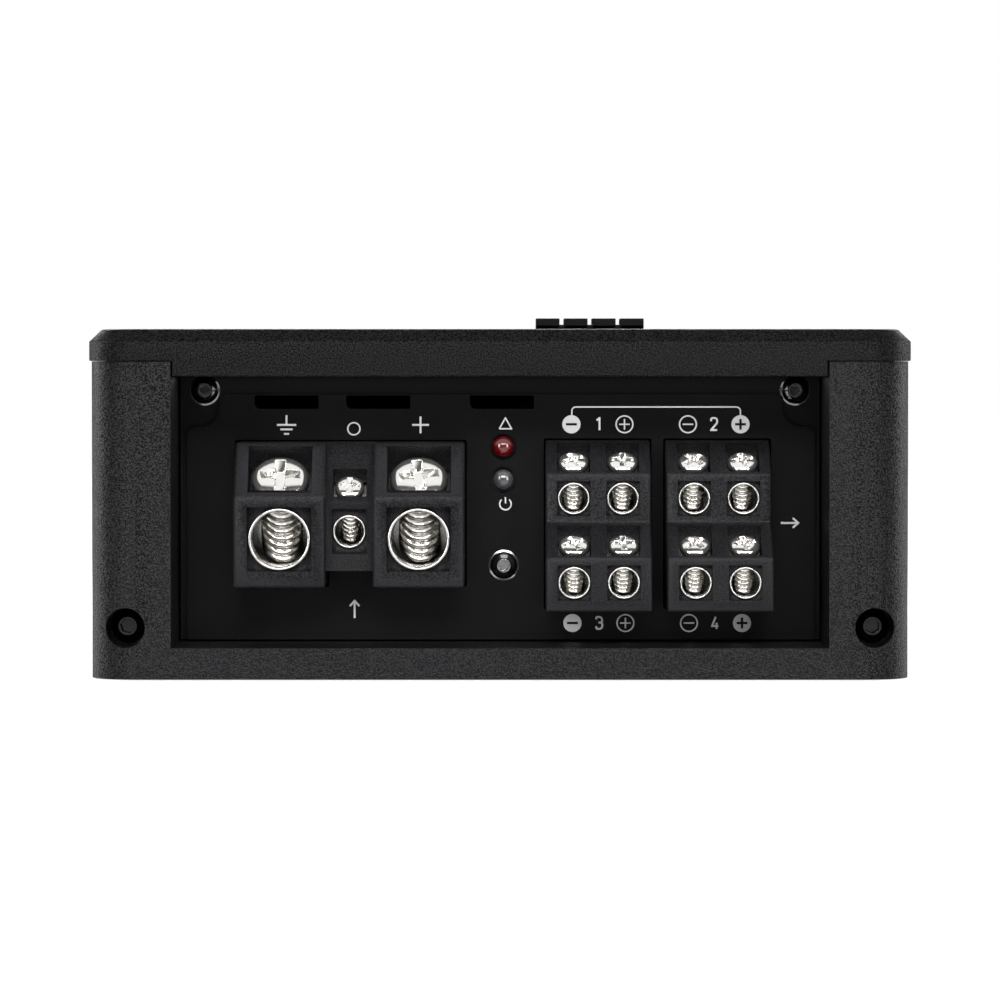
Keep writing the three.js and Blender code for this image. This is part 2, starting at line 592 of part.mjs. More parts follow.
// The common ground shell: a plate behind the panel that carries the four sleeves.
function rcaShell() {
  const plate = slab(RCA.plate.x, RCA.plate.depth, RCA.plate.z);
  const sleeves = rcaPlaces.map(([x, z]) => pin(RCA.sleeve, x, z, [RCA.nose, 24.5]));
  const insides = rcaPlaces.map(([x, z]) => pin(RCA.liner + GAP, x, z, [0, 28]));
  return cut(join(plate, ...sleeves), ...insides);
}

// The upright board, with the bodies of its four potentiometers and two switches.
function controlBoard() {
  const { left, right, low, high, front, thickness, bodiesFrom } = CONTROL_BOARD;
  const { potHalf, switchHalfX, switchHalfZ } = CONTROL_BOARD;
  const board = slab([left, right], [front, front + thickness], [low, high]);
  const around = (x, z, halfX, halfZ) =>
    slab([x - halfX, x + halfX], [bodiesFrom, front + 0.5], [z - halfZ, z + halfZ]);
  return join(board,
    ...KNOB.xs.map((x) => around(x, KNOB.z, potHalf, potHalf)),
    ...SWITCH.xs.map((x) => around(x, SWITCH.z, switchHalfX, switchHalfZ)));
}

// A turned knob with a driver slot across its face, made about its own axis.
function knobSolid() {
  const length = KNOB.back - KNOB.front;
  const body = turned([
    [0, -length], [KNOB.radius, -length], [KNOB.radius, -0.4], [KNOB.radius - 0.4, 0], [0, 0],
  ], FINE);
  const { half, deep } = KNOB_SLOT;
  return cut(body, block([-half, half], [-deep, 1], [-5, 5]));
}

function switchLever(x) {
  const { wide, high, front, z } = SWITCH;
  const stem = slab([x - wide / 2, x + wide / 2], [front, 24.8], [z - high / 2, z + high / 2]);
  const { halfX, halfZ, depth } = SWITCH_FOOT;
  const foot = slab([x - halfX, x + halfX], depth, [z - halfZ, z + halfZ]);
  return join(stem, foot);
}

piece('rca_block', rcaBlock(), TERMINAL_PLASTIC, inputEnd);
piece('rca_shell', rcaShell(), NICKEL, inputEnd);
piece('control_board', controlBoard(), BOARD_GREEN, inputEnd);
const knobNames = ['front_gain_knob', 'front_crossover_knob', 'rear_gain_knob', 'rear_crossover_knob'];
const knob = knobSolid();
knobNames.forEach((name, number) => {
  const mesh = piece(name, knob, SATIN_BLACK, inputEnd);
  mesh.position.set(KNOB.xs[number], inwards(KNOB.front), KNOB.z);
  mesh.rotation.x = Math.PI;
});
['front_filter_switch', 'rear_filter_switch'].forEach((name, number) => {
  piece(name, switchLever(SWITCH.xs[number]), SATIN_BLACK, inputEnd);
});

// ---------------------------------------------------------------- inside
const board = slab([-BOARD.half, BOARD.half], [BOARD.front, BOARD.back], [BOARD.low, BOARD.high]);
piece('main_board', board, BOARD_GREEN);

// A ring core wound with wire, standing flat on the board.
function transformer() {
  const { inner, outer, low, high } = TRANSFORMER;
  const soft = 3;
  const section = [
    [inner + soft, low], [outer - soft, low], [outer, low + soft], [outer, high - soft],
    [outer - soft, high], [inner + soft, high], [inner, high - soft], [inner, low + soft],
    [inner + soft, low],
  ];
  return upright(turned(section, 20), TRANSFORMER.x, TRANSFORMER.y);
}

piece('transformer', transformer(), COPPER);
piece('capacitor', upright(rod(CAPACITOR.radius, [CAPACITOR.low, CAPACITOR.high]),
  CAPACITOR.x, CAPACITOR.y), DARK_SLEEVE);
piece('transistor_bar', block(TRANSISTOR_BAR.x, TRANSISTOR_BAR.y, TRANSISTOR_BAR.z), ALUMINIUM);

// ---------------------------------------------------------------- badge
// A thin backing that carries four plain upright blocks.
function badge() {
  const low = HEIGHT + GAP;
  const { space } = BADGE;
  const total = BADGE.widths.reduce((sum, width) => sum + width + space, -space);
  const ys = [BADGE.depth, BADGE.depth + BADGE.length];
  const parts = [slab([BADGE.left, BADGE.left + total], ys, [low, low + BADGE.base])];
  let left = BADGE.left;
  for (const width of BADGE.widths) {
    parts.push(slab([left, left + width], [ys[0], ys[1]], [low, low + BADGE.rise]));
    left += width + space;
  }
  return join(...parts);
}

piece('badge', badge(), SATIN_BLACK);

export default root;
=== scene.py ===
import math

import bmesh
import bpy
from mathutils import Matrix, Vector


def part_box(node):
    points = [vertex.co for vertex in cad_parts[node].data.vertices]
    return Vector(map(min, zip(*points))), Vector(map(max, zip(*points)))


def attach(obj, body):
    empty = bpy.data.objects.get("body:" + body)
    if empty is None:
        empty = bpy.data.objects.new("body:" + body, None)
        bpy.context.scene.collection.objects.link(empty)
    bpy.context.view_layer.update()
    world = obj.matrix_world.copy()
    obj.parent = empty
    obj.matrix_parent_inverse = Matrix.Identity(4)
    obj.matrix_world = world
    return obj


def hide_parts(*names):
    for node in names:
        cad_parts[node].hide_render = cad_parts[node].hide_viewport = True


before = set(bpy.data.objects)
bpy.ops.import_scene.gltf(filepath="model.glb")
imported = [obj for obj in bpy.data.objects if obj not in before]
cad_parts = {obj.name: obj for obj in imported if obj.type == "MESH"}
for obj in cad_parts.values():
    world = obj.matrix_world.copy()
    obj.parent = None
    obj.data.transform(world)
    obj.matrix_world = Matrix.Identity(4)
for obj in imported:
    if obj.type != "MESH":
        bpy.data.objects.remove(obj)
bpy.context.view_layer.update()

bl_info = {
    "name": "Compact Car Amplifier",
    "version": (1, 0, 0),
    "blender": (4, 5, 0),
    "location": "3D View > Sidebar > Amplifier",
    "description": "Builds the finished pieces of a compact four channel amplifier on its frame",
    "category": "Object",
}

# The cover's joint line, in millimetres.
JOINT_LINE = 0.06
# Everything is drawn in millimetres and brought to metres when a piece is finished.
MM = 0.001


def span(node, axis):
    """The lowest and highest millimetre of a node along one axis."""
    low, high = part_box(node)
    return low[axis] / MM, high[axis] / MM


COVER_X = span("top_cover", 0)
COVER_Y = span("top_cover", 1)
FRAME_X = span("front_frame", 0)
FRAME_Y = span("front_frame", 1)
HEATSINK_X = span("heatsink", 0)
HEATSINK_Y = span("heatsink", 1)
PANEL_X = span("front_panel", 0)
PANEL_Y = span("front_panel", 1)
PANEL_Z = span("front_panel", 2)
OUTER_PLANE = COVER_Y[0]
# Screw places, in millimetres: across and up for the ends, across and along for the underside.
PANEL_SCREW_X = 46.1
PANEL_SCREW_Z = 44.0
FRAME_SCREW_X = 57.2
FRAME_SCREW_Z = 7.9
COVER_SCREW_X = 47.2
COVER_SCREW_Y = 70
# How far an end panel's plate lies behind its raised middle.
PANEL_STEP = 1.0
# The power block's three walls, from left to right, and their undersides.
POWER_WALLS = {"ground": (-41.1, -26.9), "remote": (-27.2, -19.3), "supply": (-19.6, -5.45)}
POWER_FOOT = 13.6
REMOTE_FOOT = 16.25
POWER_TOP = 36.0


# ---------------------------------------------------------------- settings of the add-on
def length(name, default, description):
    """A size that a user may change, kept in metres and given in millimetres."""
    return bpy.props.FloatProperty(name=name, default=default * MM, min=0.0, precision=5,
                                   unit="LENGTH", description=description)


class Sizes:
    """The lengths of one group of settings, read back in millimetres."""

    def __init__(self, group):
        self.group = group

    def __getattr__(self, title):
        value = getattr(self.group, title)
        kind = self.group.bl_rna.properties[title]
        return value / MM if kind.unit == "LENGTH" else value


def colour(name, default, description):
    """A colour that a user may change."""
    return bpy.props.FloatVectorProperty(name=name, default=default, size=3, min=0.0, max=1.0,
                                         subtype="COLOR", description=description)


class AmplifierCaseSettings(bpy.types.PropertyGroup):
    corner_radius: length("Corner radius", 8.0, "Radius of the cover's corners seen from above")
    cover_wall: length("Cover wall", 2.2, "Thickness of the cover's sheet")
    chamfer_across: length("Chamfer across", 2.2, "Width of the chamfer round the top")
    chamfer_down: length("Chamfer down", 1.8, "Height of the chamfer round the top")
    skirt_low: length("Skirt height", 48.6, "Height of the cover's lower edge on the posts")
    recess_half: length("Half recess", 50.2, "Half the width between the posts")
    rail_top: length("Rail height", 4.8, "Height of the rail under each recess")
    edge_round: length("Edge rounding", 0.2, "Rounding of the case's sharp edges")
    fin_pitch: length("Fin pitch", 5.8, "Distance from one cooling fin to the next")
    fin_groove: length("Fin groove", 2.8, "Width of the groove between two fins")


class AmplifierTerminalSettings(bpy.types.PropertyGroup):
    edge_round: length("Edge rounding", 0.3, "Rounding of the terminal blocks' edges")
    collar_wall: bpy.props.FloatProperty(
        name="Collar wall", default=0.11, min=0.02, max=0.5,
        description="Wall of a clamp's collar at its mouth, as a share of the collar's radius")
    power_pitch: length("Power screw pitch", 1.6, "Thread pitch of the two large clamp screws")
    remote_pitch: length("Remote screw pitch", 0.95, "Thread pitch of the remote clamp screw")
    speaker_pitch: length("Speaker screw pitch", 0.8, "Thread pitch of the speaker screws")


class AmplifierLegendSettings(bpy.types.PropertyGroup):
    line: length("Line width", 0.3, "Width of the bolder printed strokes")
    rise: length("Ink rise", 0.03, "How far the printed ink stands off the panel")


class AmplifierFinishSettings(bpy.types.PropertyGroup):
    powder: colour("Powder coat", (0.0031, 0.0031, 0.0034), "Colour of the case's powder coat")
    satin: colour("Satin black", (0.0016, 0.0016, 0.0018), "Colour of the end panels")
    moulding: colour("Moulding", (0.005, 0.005, 0.0058), "Colour of the terminal blocks")
    nickel: colour("Nickel", (0.6, 0.59, 0.57), "Colour of the plated clamps and screws")
    ink: colour("Ink", (0.56, 0.56, 0.56), "Colour of the printed legends")
    red_lens: colour("Red lens", (0.09, 0.0006, 0.0015), "Colour of the protection indicator")
    grey_lens: colour("Grey lens", (0.045, 0.045, 0.048), "Colour of the power indicator, unlit")


class AmplifierStageSettings(bpy.types.PropertyGroup):
    camera_distance: bpy.props.FloatProperty(
        name="Camera distance", default=0.85, unit="LENGTH",
        description="Distance from the terminal end's outer plane to the camera")
    eye_height: bpy.props.FloatProperty(
        name="Eye height", default=0.0503, unit="LENGTH",
        description="Height of the camera above the floor")
    lens: bpy.props.FloatProperty(name="Focal length", default=201.0, min=1.0,
                                  description="Focal length on a 36 mm wide sensor")


SETTINGS = {
    "amplifier_case": AmplifierCaseSettings,
    "amplifier_terminals": AmplifierTerminalSettings,
    "amplifier_legends": AmplifierLegendSettings,
    "amplifier_finishes": AmplifierFinishSettings,
    "amplifier_stage": AmplifierStageSettings,
}


def settings(name):
    return getattr(bpy.context.scene, "amplifier_" + name)


def sizes(name):
    return Sizes(settings(name))


# ---------------------------------------------------------------- outlines
def rounded(points, radii, steps=6, closed=True):
    """A polygon or open line with its corners turned into arcs. radii is one radius or one each."""
    count = len(points)
    if not isinstance(radii, (list, tuple)):
        radii = [radii] * count
    result = []
    for i, point in enumerate(points):
        at_end = not closed and i in (0, count - 1)
        if at_end or radii[i] <= 0:
            result.append(tuple(point))
            continue
        corner = Vector(point)
        before = Vector(points[i - 1]) - corner
        after = Vector(points[(i + 1) % count]) - corner
        half = before.angle(after) / 2
        if half > math.pi / 2 - 0.02:
            result.append(tuple(point))
            continue
        reach = min(radii[i] / math.tan(half), before.length / 2, after.length / 2)
        radius = reach * math.tan(half)
        before.normalize()
        after.normalize()
        centre = corner + (before + after).normalized() * (radius / math.sin(half))
        start = corner + before * reach - centre
        end = corner + after * reach - centre
        first = math.atan2(start.y, start.x)
        turn = (math.atan2(end.y, end.x) - first + math.pi) % (2 * math.pi) - math.pi
        for k in range(steps + 1):
            angle = first + turn * k / steps
            result.append((centre.x + radius * math.cos(angle), centre.y + radius * math.sin(angle)))
    return result


def rectangle(xs, ys):
    return [(xs[0], ys[0]), (xs[1], ys[0]), (xs[1], ys[1]), (xs[0], ys[1])]


def circle(radius, sides, centre=(0, 0)):
    turn = 2 * math.pi / sides
    return [(centre[0] + radius * math.cos(turn * k), centre[1] + radius * math.sin(turn * k))
            for k in range(sides)]


# ---------------------------------------------------------------- solids, in millimetres
def new_object(name, mesh):
    obj = bpy.data.objects.new(name, mesh)
    bpy.context.scene.collection.objects.link(obj)
    return obj


def closed_mesh(name, vertices, faces):
    """A mesh object with its doubles merged and its faces turned outwards."""
    mesh = bpy.data.meshes.new(name)
    mesh.from_pydata(vertices, [], faces)
    work = bmesh.new()
    work.from_mesh(mesh)
    bmesh.ops.remove_doubles(work, verts=work.verts, dist=1e-5)
    bmesh.ops.recalc_face_normals(work, faces=work.faces)
    work.to_mesh(mesh)
    work.free()
    mesh.shade_smooth()
    return new_object(name, mesh)


def loft(rings, name="solid"):
    """A closed solid through rings of the same number of points, capped at both ends."""
    count = len(rings[0])
    vertices = [point for ring in rings for point in ring]
    faces = [tuple(range(count)), tuple(range(len(vertices) - count, len(vertices)))]
    for r in range(len(rings) - 1):
        for k in range(count):
            a = r * count + k
            b = r * count + (k + 1) % count
            faces.append((a, b, b + count, a + count))
    return closed_mesh(name, vertices, faces)


def prism(outline, axis, reach):
    """An outline swept along an axis. Its two coordinates are the other two axes in X, Y, Z order."""
    place = {
        "X": lambda u, v, w: (w, u, v),
        "Y": lambda u, v, w: (u, w, v),
        "Z": lambda u, v, w: (u, v, w),
    }[axis]
    return loft([[place(u, v, w) for u, v in outline] for w in reach])


def block(xs, ys, zs):
    return prism(rectangle(xs, ys), "Z", zs)


def turned(profile, sides=48, matrix=None):
    """A solid of revolution about Z from (radius, height) points that start and end on the axis."""
    vertices, rings = [], []
    for radius, height in profile:
        ring = 1 if radius < 1e-6 else sides
        rings.append((len(vertices), ring))
        for k in range(ring):
            angle = 2 * math.pi * k / sides
            vertices.append((radius * math.cos(angle), radius * math.sin(angle), height))
    faces = []
    for (a, na), (b, nb) in zip(rings, rings[1:]):
        for k in range(sides):
            n = (k + 1) % sides
            low = (a, a) if na == 1 else (a + k, a + n)
            high = (b, b) if nb == 1 else (b + k, b + n)
            face = [low[0], low[1], high[1], high[0]]
            face = [v for i, v in enumerate(face) if v not in face[:i]]
            if len(face) > 2:
                faces.append(tuple(face))
    obj = closed_mesh("turned", vertices, faces)
    if matrix is not None:
        obj.data.transform(matrix)
    return obj


def tube(profile, sides=48, matrix=None):
    """A ring of revolution about Z from a closed (radius, height) outline that is off the axis."""
    vertices = []
    for k in range(sides):
        angle = 2 * math.pi * k / sides
        vertices += [(r * math.cos(angle), r * math.sin(angle), h) for r, h in profile]
    count = len(profile)
    faces = []
    for k in range(sides):
        here, there = k * count, (k + 1) % sides * count
        for j in range(count):
            n = (j + 1) % count
            faces.append((here + j, here + n, there + n, there + j))
    obj = closed_mesh("tube", vertices, faces)
    if matrix is not None:
        obj.data.transform(matrix)
    return obj


def facing(point, outwards, turn=0.0):
    """The matrix that sets a piece made about Z, facing up, at a point so that it faces outwards."""
    aim = Vector(outwards).to_track_quat("Z", "Y").to_matrix().to_4x4()
    return Matrix.Translation(Vector(point)) @ aim @ Matrix.Rotation(turn, 4, "Z")


def settle(obj):
    """Applies an object's modifiers, so that it is a plain mesh again."""
    bpy.context.view_layer.update()
    graph = bpy.context.evaluated_depsgraph_get()
    mesh = bpy.data.meshes.new_from_object(
        obj.evaluated_get(graph), preserve_all_data_layers=True, depsgraph=graph)
    old = obj.data
    obj.modifiers.clear()
    obj.data = mesh
    bpy.data.meshes.remove(old)
    return obj


def combine(base, operation, others):
    """Joins other solids to a base, or cuts them out of it."""
    for other in others:
        modifier = base.modifiers.new("combine", "BOOLEAN")
        modifier.operation = operation
        modifier.solver = "EXACT"
        modifier.object = other
    settle(base)
    for other in others:
        mesh = other.data
        bpy.data.objects.remove(other)
        bpy.data.meshes.remove(mesh)
    return base


def cut(base, *others):
    return combine(base, "DIFFERENCE", others)


def joined(base, *others):
    return combine(base, "UNION", others)


def together(objects):
    """Several solids as one mesh, without joining their surfaces."""
    work = bmesh.new()
    for obj in objects:
        work.from_mesh(obj.data)
    mesh = bpy.data.meshes.new("together")
    work.to_mesh(mesh)
    work.free()
    for obj in objects:
        old = obj.data
        bpy.data.objects.remove(obj)
        bpy.data.meshes.remove(old)
    mesh.shade_smooth()
    return new_object("together", mesh)


def soften(obj, width, segments=2, angle=32):
    """Rounds the sharp edges and keeps the flat faces flat in their shading."""
    obj.data.shade_smooth()
    modifier = obj.modifiers.new("soft edges", "BEVEL")
    modifier.width = width
    modifier.segments = segments
    modifier.limit_method = "ANGLE"
    modifier.angle_limit = math.radians(angle)
    modifier.use_clamp_overlap = True
    modifier.harden_normals = True
    return settle(obj)


def crisp(obj, angle=35):
    """Smooth shading that stops at edges sharper than the angle."""
    obj.data.shade_smooth()
    obj.data.set_sharp_from_angle(angle=math.radians(angle))
    return obj


def finished(obj, name, material, nodes=(), body="root"):
    """Brings a piece to metres, gives it its finish, sets it on its body and hides the parts it
    replaces.
    """
    obj.name = name
    obj.data.name = name
    obj.data.transform(Matrix.Scale(MM, 4))
    obj.data.materials.clear()
    obj.data.materials.append(material)
    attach(obj, body)
    if nodes:
        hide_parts(*nodes)
    return obj


# ---------------------------------------------------------------- shader node groups
def shader_group(name, inputs, outputs):
    """An empty shader group with named float inputs, and its input and output nodes."""
    group = bpy.data.node_groups.new(name, "ShaderNodeTree")
    for title, value in inputs:
        socket = group.interface.new_socket(title, in_out="INPUT", socket_type="NodeSocketFloat")
        socket.default_value = value
    for title in outputs:
        group.interface.new_socket(title, in_out="OUTPUT", socket_type="NodeSocketFloat")
    return group, group.nodes.new("NodeGroupInput"), group.nodes.new("NodeGroupOutput")


def feed(tree, socket, value):
    """Gives a socket a link from another socket, or a fixed value."""
    if isinstance(value, bpy.types.NodeSocket):
        tree.links.new(value, socket)
    else:
        socket.default_value = value


def shader_maths(tree, operation, *values):
    """A Math node; each value is a socket or a number."""
    node = tree.nodes.new("ShaderNodeMath")
    node.operation = operation
    for number, value in enumerate(values):
        feed(tree, node.inputs[number], value)
    return node.outputs[0]


def clamped(tree, value):
    """A value held between 0 and 1."""
    return shader_maths(tree, "MINIMUM", shader_maths(tree, "MAXIMUM", value, 0.0), 1.0)


def noise(tree, coordinates, scale, detail=2.0, roughness=0.5):
    node = tree.nodes.new("ShaderNodeTexNoise")
    node.inputs["Detail"].default_value = detail
    node.inputs["Roughness"].default_value = roughness
    feed(tree, node.inputs["Scale"], scale)
    tree.links.new(coordinates, node.inputs["Vector"])
    return node.outputs["Fac"]


def object_coordinates(tree):
    return tree.nodes.new("ShaderNodeTexCoord").outputs["Object"]


def grain_group():
    """Orange peel and speckle: height for a bump, and a 0 to 1 speckle mask."""
    group, inputs, outputs = shader_group(
        "coat grain", [("Grains per metre", 2600.0), ("Peel share", 0.4)], ["Height", "Speckle"])
    place = object_coordinates(group)
    fine = noise(group, place, inputs.outputs["Grains per metre"], 1.5)
    third = shader_maths(group, "MULTIPLY", inputs.outputs["Grains per metre"], 0.33)
    peel = noise(group, place, third, 1.0)
    weighted = shader_maths(group, "MULTIPLY", peel, inputs.outputs["Peel share"])
    height = shader_maths(group, "ADD", fine, weighted)
    speckle = shader_maths(group, "MULTIPLY_ADD", fine, 5.4, -2.2)
    group.links.new(height, outputs.inputs["Height"])
    group.links.new(clamped(group, speckle), outputs.inputs["Speckle"])
    return group


def edge_highlight_group():
    """A 0 to 1 mask that is high along raised edges, where the coat is lightened as a painted highlight.
    """
    group, inputs, outputs = shader_group("edge wear", [("Reach", 9.0)], ["Edge"])
    bend = group.nodes.new("ShaderNodeNewGeometry").outputs["Pointiness"]
    raised = shader_maths(group, "SUBTRACT", bend, 0.505)
    edge = shader_maths(group, "MULTIPLY", raised, inputs.outputs["Reach"])
    group.links.new(clamped(group, edge), outputs.inputs["Edge"])
    return group


def handling_group():
    """Broad uneven patches, as dust and handling leave them, from 0 to 1."""
    group, inputs, outputs = shader_group("handling", [("Patches per metre", 45.0)], ["Patch"])
    place = object_coordinates(group)
    patch = noise(group, place, inputs.outputs["Patches per metre"], 4.0, 0.6)
    group.links.new(patch, outputs.inputs["Patch"])
    return group


GROUPS = {}


def effect(tree, maker, values=()):
    """Places a shared effect in a material, building it the first time."""
    if maker not in GROUPS:
        GROUPS[maker] = maker()
    node = tree.nodes.new("ShaderNodeGroup")
    node.node_tree = GROUPS[maker]
    for title, value in values:
        node.inputs[title].default_value = value
    return node


def mix_colour(tree, mask, low, high):
    """A mix by a mask of two colours, each a socket or three channels."""
    node = tree.nodes.new("ShaderNodeMix")
    node.data_type = "RGBA"
    tree.links.new(mask, node.inputs["Factor"])
    for title, value in (("A", low), ("B", high)):
        socket = next(s for s in node.inputs if s.name == title and s.type == "RGBA")
        feed(tree, socket, (*value, 1.0) if isinstance(value, tuple) else value)
    return next(s for s in node.outputs if s.type == "RGBA")


def map_range(tree, value, low, high):
    node = tree.nodes.new("ShaderNodeMapRange")
    tree.links.new(value, node.inputs["Value"])
    node.inputs["To Min"].default_value = low
    node.inputs["To Max"].default_value = high
    return node.outputs["Result"]


def bump(tree, height, strength, distance):
    node = tree.nodes.new("ShaderNodeBump")
    node.inputs["Strength"].default_value = strength
    node.inputs["Distance"].default_value = distance
    tree.links.new(height, node.inputs["Height"])
    return node.outputs["Normal"]


def new_material(name):
    material = bpy.data.materials.new(name)
    material.use_nodes = True
    tree = material.node_tree
    shader = next(n for n in tree.nodes if n.type == "BSDF_PRINCIPLED")
    return material, tree, shader


def brighter(value, factor):
    return tuple(min(1.0, channel * factor) for channel in value)


def coated(name, base, roughness, grains, depth, speckle, edge_highlight=1.6, gloss=0.5):
    """A grained coat or moulding: speckled colour, uneven gloss, and raised edges lightened as a painted
    highlight.
    """
    material, tree, shader = new_material(name)
    grain = effect(tree, grain_group, [("Grains per metre", grains)])
    patches = effect(tree, handling_group)
    edge = effect(tree, edge_highlight_group)
    spotted = mix_colour(tree, grain.outputs["Speckle"], brighter(base, 1 - speckle),
                         brighter(base, 1 + speckle))
    # Raised edges are mixed towards a brighter copy of the base colour: a painted highlight.
    highlighted = mix_colour(tree, edge.outputs["Edge"], spotted, brighter(base, edge_highlight))
    tree.links.new(highlighted, shader.inputs["Base Color"])
    tree.links.new(map_range(tree, patches.outputs["Patch"], roughness - 0.07, roughness + 0.07),
                   shader.inputs["Roughness"])
    spread = 0.75 * speckle
    tree.links.new(map_range(tree, grain.outputs["Speckle"], gloss * (1 - spread),
                             gloss * (1 + spread)),
                   shader.inputs["Specular IOR Level"])
    tree.links.new(bump(tree, grain.outputs["Height"], 0.9, depth), shader.inputs["Normal"])
    return material


def plated(name, base, roughness, metallic=1.0):
    """Plated metal: fine uneven gloss and a trace of tarnish."""
    material, tree, shader = new_material(name)
    patches = effect(tree, handling_group, [("Patches per metre", 380.0)])
    grain = effect(tree, grain_group, [("Grains per metre", 1500.0)])
    tint = mix_colour(tree, patches.outputs["Patch"], brighter(base, 0.86), brighter(base, 1.06))
    tree.links.new(tint, shader.inputs["Base Color"])
    tree.links.new(map_range(tree, patches.outputs["Patch"], roughness * 0.6, roughness * 1.5),
                   shader.inputs["Roughness"])
    tree.links.new(bump(tree, grain.outputs["Height"], 0.25, 0.00002), shader.inputs["Normal"])
    shader.inputs["Metallic"].default_value = metallic
    return material


def lens_finish(name, base):
    """Moulded clear lens: a deep colour under a hard gloss."""
    material, tree, shader = new_material(name)
    patches = effect(tree, handling_group, [("Patches per metre", 900.0)])
    tint = mix_colour(tree, patches.outputs["Patch"], brighter(base, 0.8), brighter(base, 1.15))
    tree.links.new(tint, shader.inputs["Base Color"])
    tree.links.new(map_range(tree, patches.outputs["Patch"], 0.16, 0.26), shader.inputs["Roughness"])
    shader.inputs["Coat Weight"].default_value = 0.8
    shader.inputs["Coat Roughness"].default_value = 0.05
    shader.inputs["Subsurface Weight"].default_value = 0.15
    shader.inputs["Subsurface Scale"].default_value = 0.001
    return material


def circuit_finish(name):
    """Solder mask with fine copper tracks showing through."""
    material, tree, shader = new_material(name)
    place = object_coordinates(tree)
    brick = tree.nodes.new("ShaderNodeTexBrick")
    brick.inputs["Scale"].default_value = 180.0
    brick.inputs["Color1"].default_value = (0.006, 0.05, 0.02, 1)
    brick.inputs["Color2"].default_value = (0.009, 0.065, 0.026, 1)
    brick.inputs["Mortar"].default_value = (0.02, 0.11, 0.045, 1)
    tree.links.new(place, brick.inputs["Vector"])
    tree.links.new(brick.outputs["Color"], shader.inputs["Base Color"])
    patches = effect(tree, handling_group)
    tree.links.new(map_range(tree, patches.outputs["Patch"], 0.3, 0.45), shader.inputs["Roughness"])
    return material


def wound_finish(name):
    """Enamelled copper wire laid side by side."""
    material, tree, shader = new_material(name)
    wave = tree.nodes.new("ShaderNodeTexWave")
    wave.inputs["Scale"].default_value = 320.0
    wave.inputs["Distortion"].default_value = 1.2
    tree.links.new(object_coordinates(tree), wave.inputs["Vector"])
    tint = mix_colour(tree, wave.outputs["Fac"], (0.14, 0.04, 0.015), (0.5, 0.18, 0.07))
    tree.links.new(tint, shader.inputs["Base Color"])
    tree.links.new(bump(tree, wave.outputs["Fac"], 0.8, 0.0002), shader.inputs["Normal"])
    shader.inputs["Metallic"].default_value = 0.6
    shader.inputs["Roughness"].default_value = 0.35
    return material


MATERIALS = {}


def make_materials():
    """Every finish of the amplifier, by a plain name."""
    looks = settings("finishes")
    powder, satin, moulding = tuple(looks.powder), tuple(looks.satin), tuple(looks.moulding)
    MATERIALS.update({
        # The figure after the speckle sets how far raised edges are lightened, as a painted highlight.
        "powder": coated("black powder coat", powder, 0.42, 4300.0, 0.00012, 0.92, 2.0, 0.13),
        # The cover's coat is the case's powder darkened to 0.6 of it: painted shade.
        "cover": coated("cover powder coat", brighter(powder, 0.6), 0.42, 4300.0, 0.00014, 1.0,
                        2.0, 0.08),
        "satin": coated("satin black panel", satin, 0.36, 5200.0, 0.00001, 0.06, 1.2, 0.12),
        "moulding": coated("matte moulding", moulding, 0.5, 5600.0, 0.00006, 0.6, 2.0, 0.15),
        "nickel": plated("bright nickel", tuple(looks.nickel), 0.17),
        # The screws' nickel is the clamps' nickel brightened 1.35 times: a satin plating with a painted
        # highlight added to it.
        "satin nickel": plated("satin nickel", brighter(looks.nickel, 1.35), 0.13, 0.95),
        "zinc": plated("black zinc", (0.028, 0.028, 0.03), 0.15, 0.9),
        "black nickel": plated("black nickel", (0.2, 0.2, 0.205), 0.11),
        "dark nickel": plated("dark nickel", (0.42, 0.42, 0.43), 0.13),
        "red lens": lens_finish("red lens", tuple(looks.red_lens)),
        "grey lens": lens_finish("grey lens", tuple(looks.grey_lens)),
        "ink": coated("printed ink", tuple(looks.ink), 0.6, 6000.0, 0.000004, 0.06, 1.05),
        "circuit": circuit_finish("circuit board"),
        "winding": wound_finish("copper winding"),
        "sleeve": coated("shrunk sleeve", (0.012, 0.016, 0.035), 0.3, 1500.0, 0.00001, 0.1),
        "aluminium": plated("milled aluminium", (0.6, 0.6, 0.62), 0.35),
        "white plastic": coated("white insert", (0.7, 0.7, 0.68), 0.35, 3000.0, 0.00001, 0.03),
        "red plastic": coated("red insert", (0.45, 0.012, 0.01), 0.35, 3000.0, 0.00001, 0.05),
    })


# ---------------------------------------------------------------- stage
def area_light(name, place, aim, size, power, tint=(1, 1, 1)):
    light = bpy.data.lights.new(name, "AREA")
    light.shape = "RECTANGLE"
    light.size, light.size_y = size
    light.energy = power
    light.color = tint
    obj = bpy.data.objects.new(name, light)
    obj.location = place
    obj.rotation_euler = (Vector(aim) - Vector(place)).to_track_quat("-Z", "Y").to_euler()
    bpy.context.scene.collection.objects.link(obj)
    return obj


def seen_directly(tree):
    return tree.nodes.new("ShaderNodeLightPath").outputs["Is Camera Ray"]


def make_world():
    world = bpy.data.worlds.new("studio")
    world.use_nodes = True
    tree = world.node_tree
    background = tree.nodes["Background"]
    background.inputs["Color"].default_value = (1, 1, 1, 1)
    strength = map_range(tree, seen_directly(tree), 0.035, 1.0)
    tree.links.new(strength, background.inputs["Strength"])
    bpy.context.scene.world = world


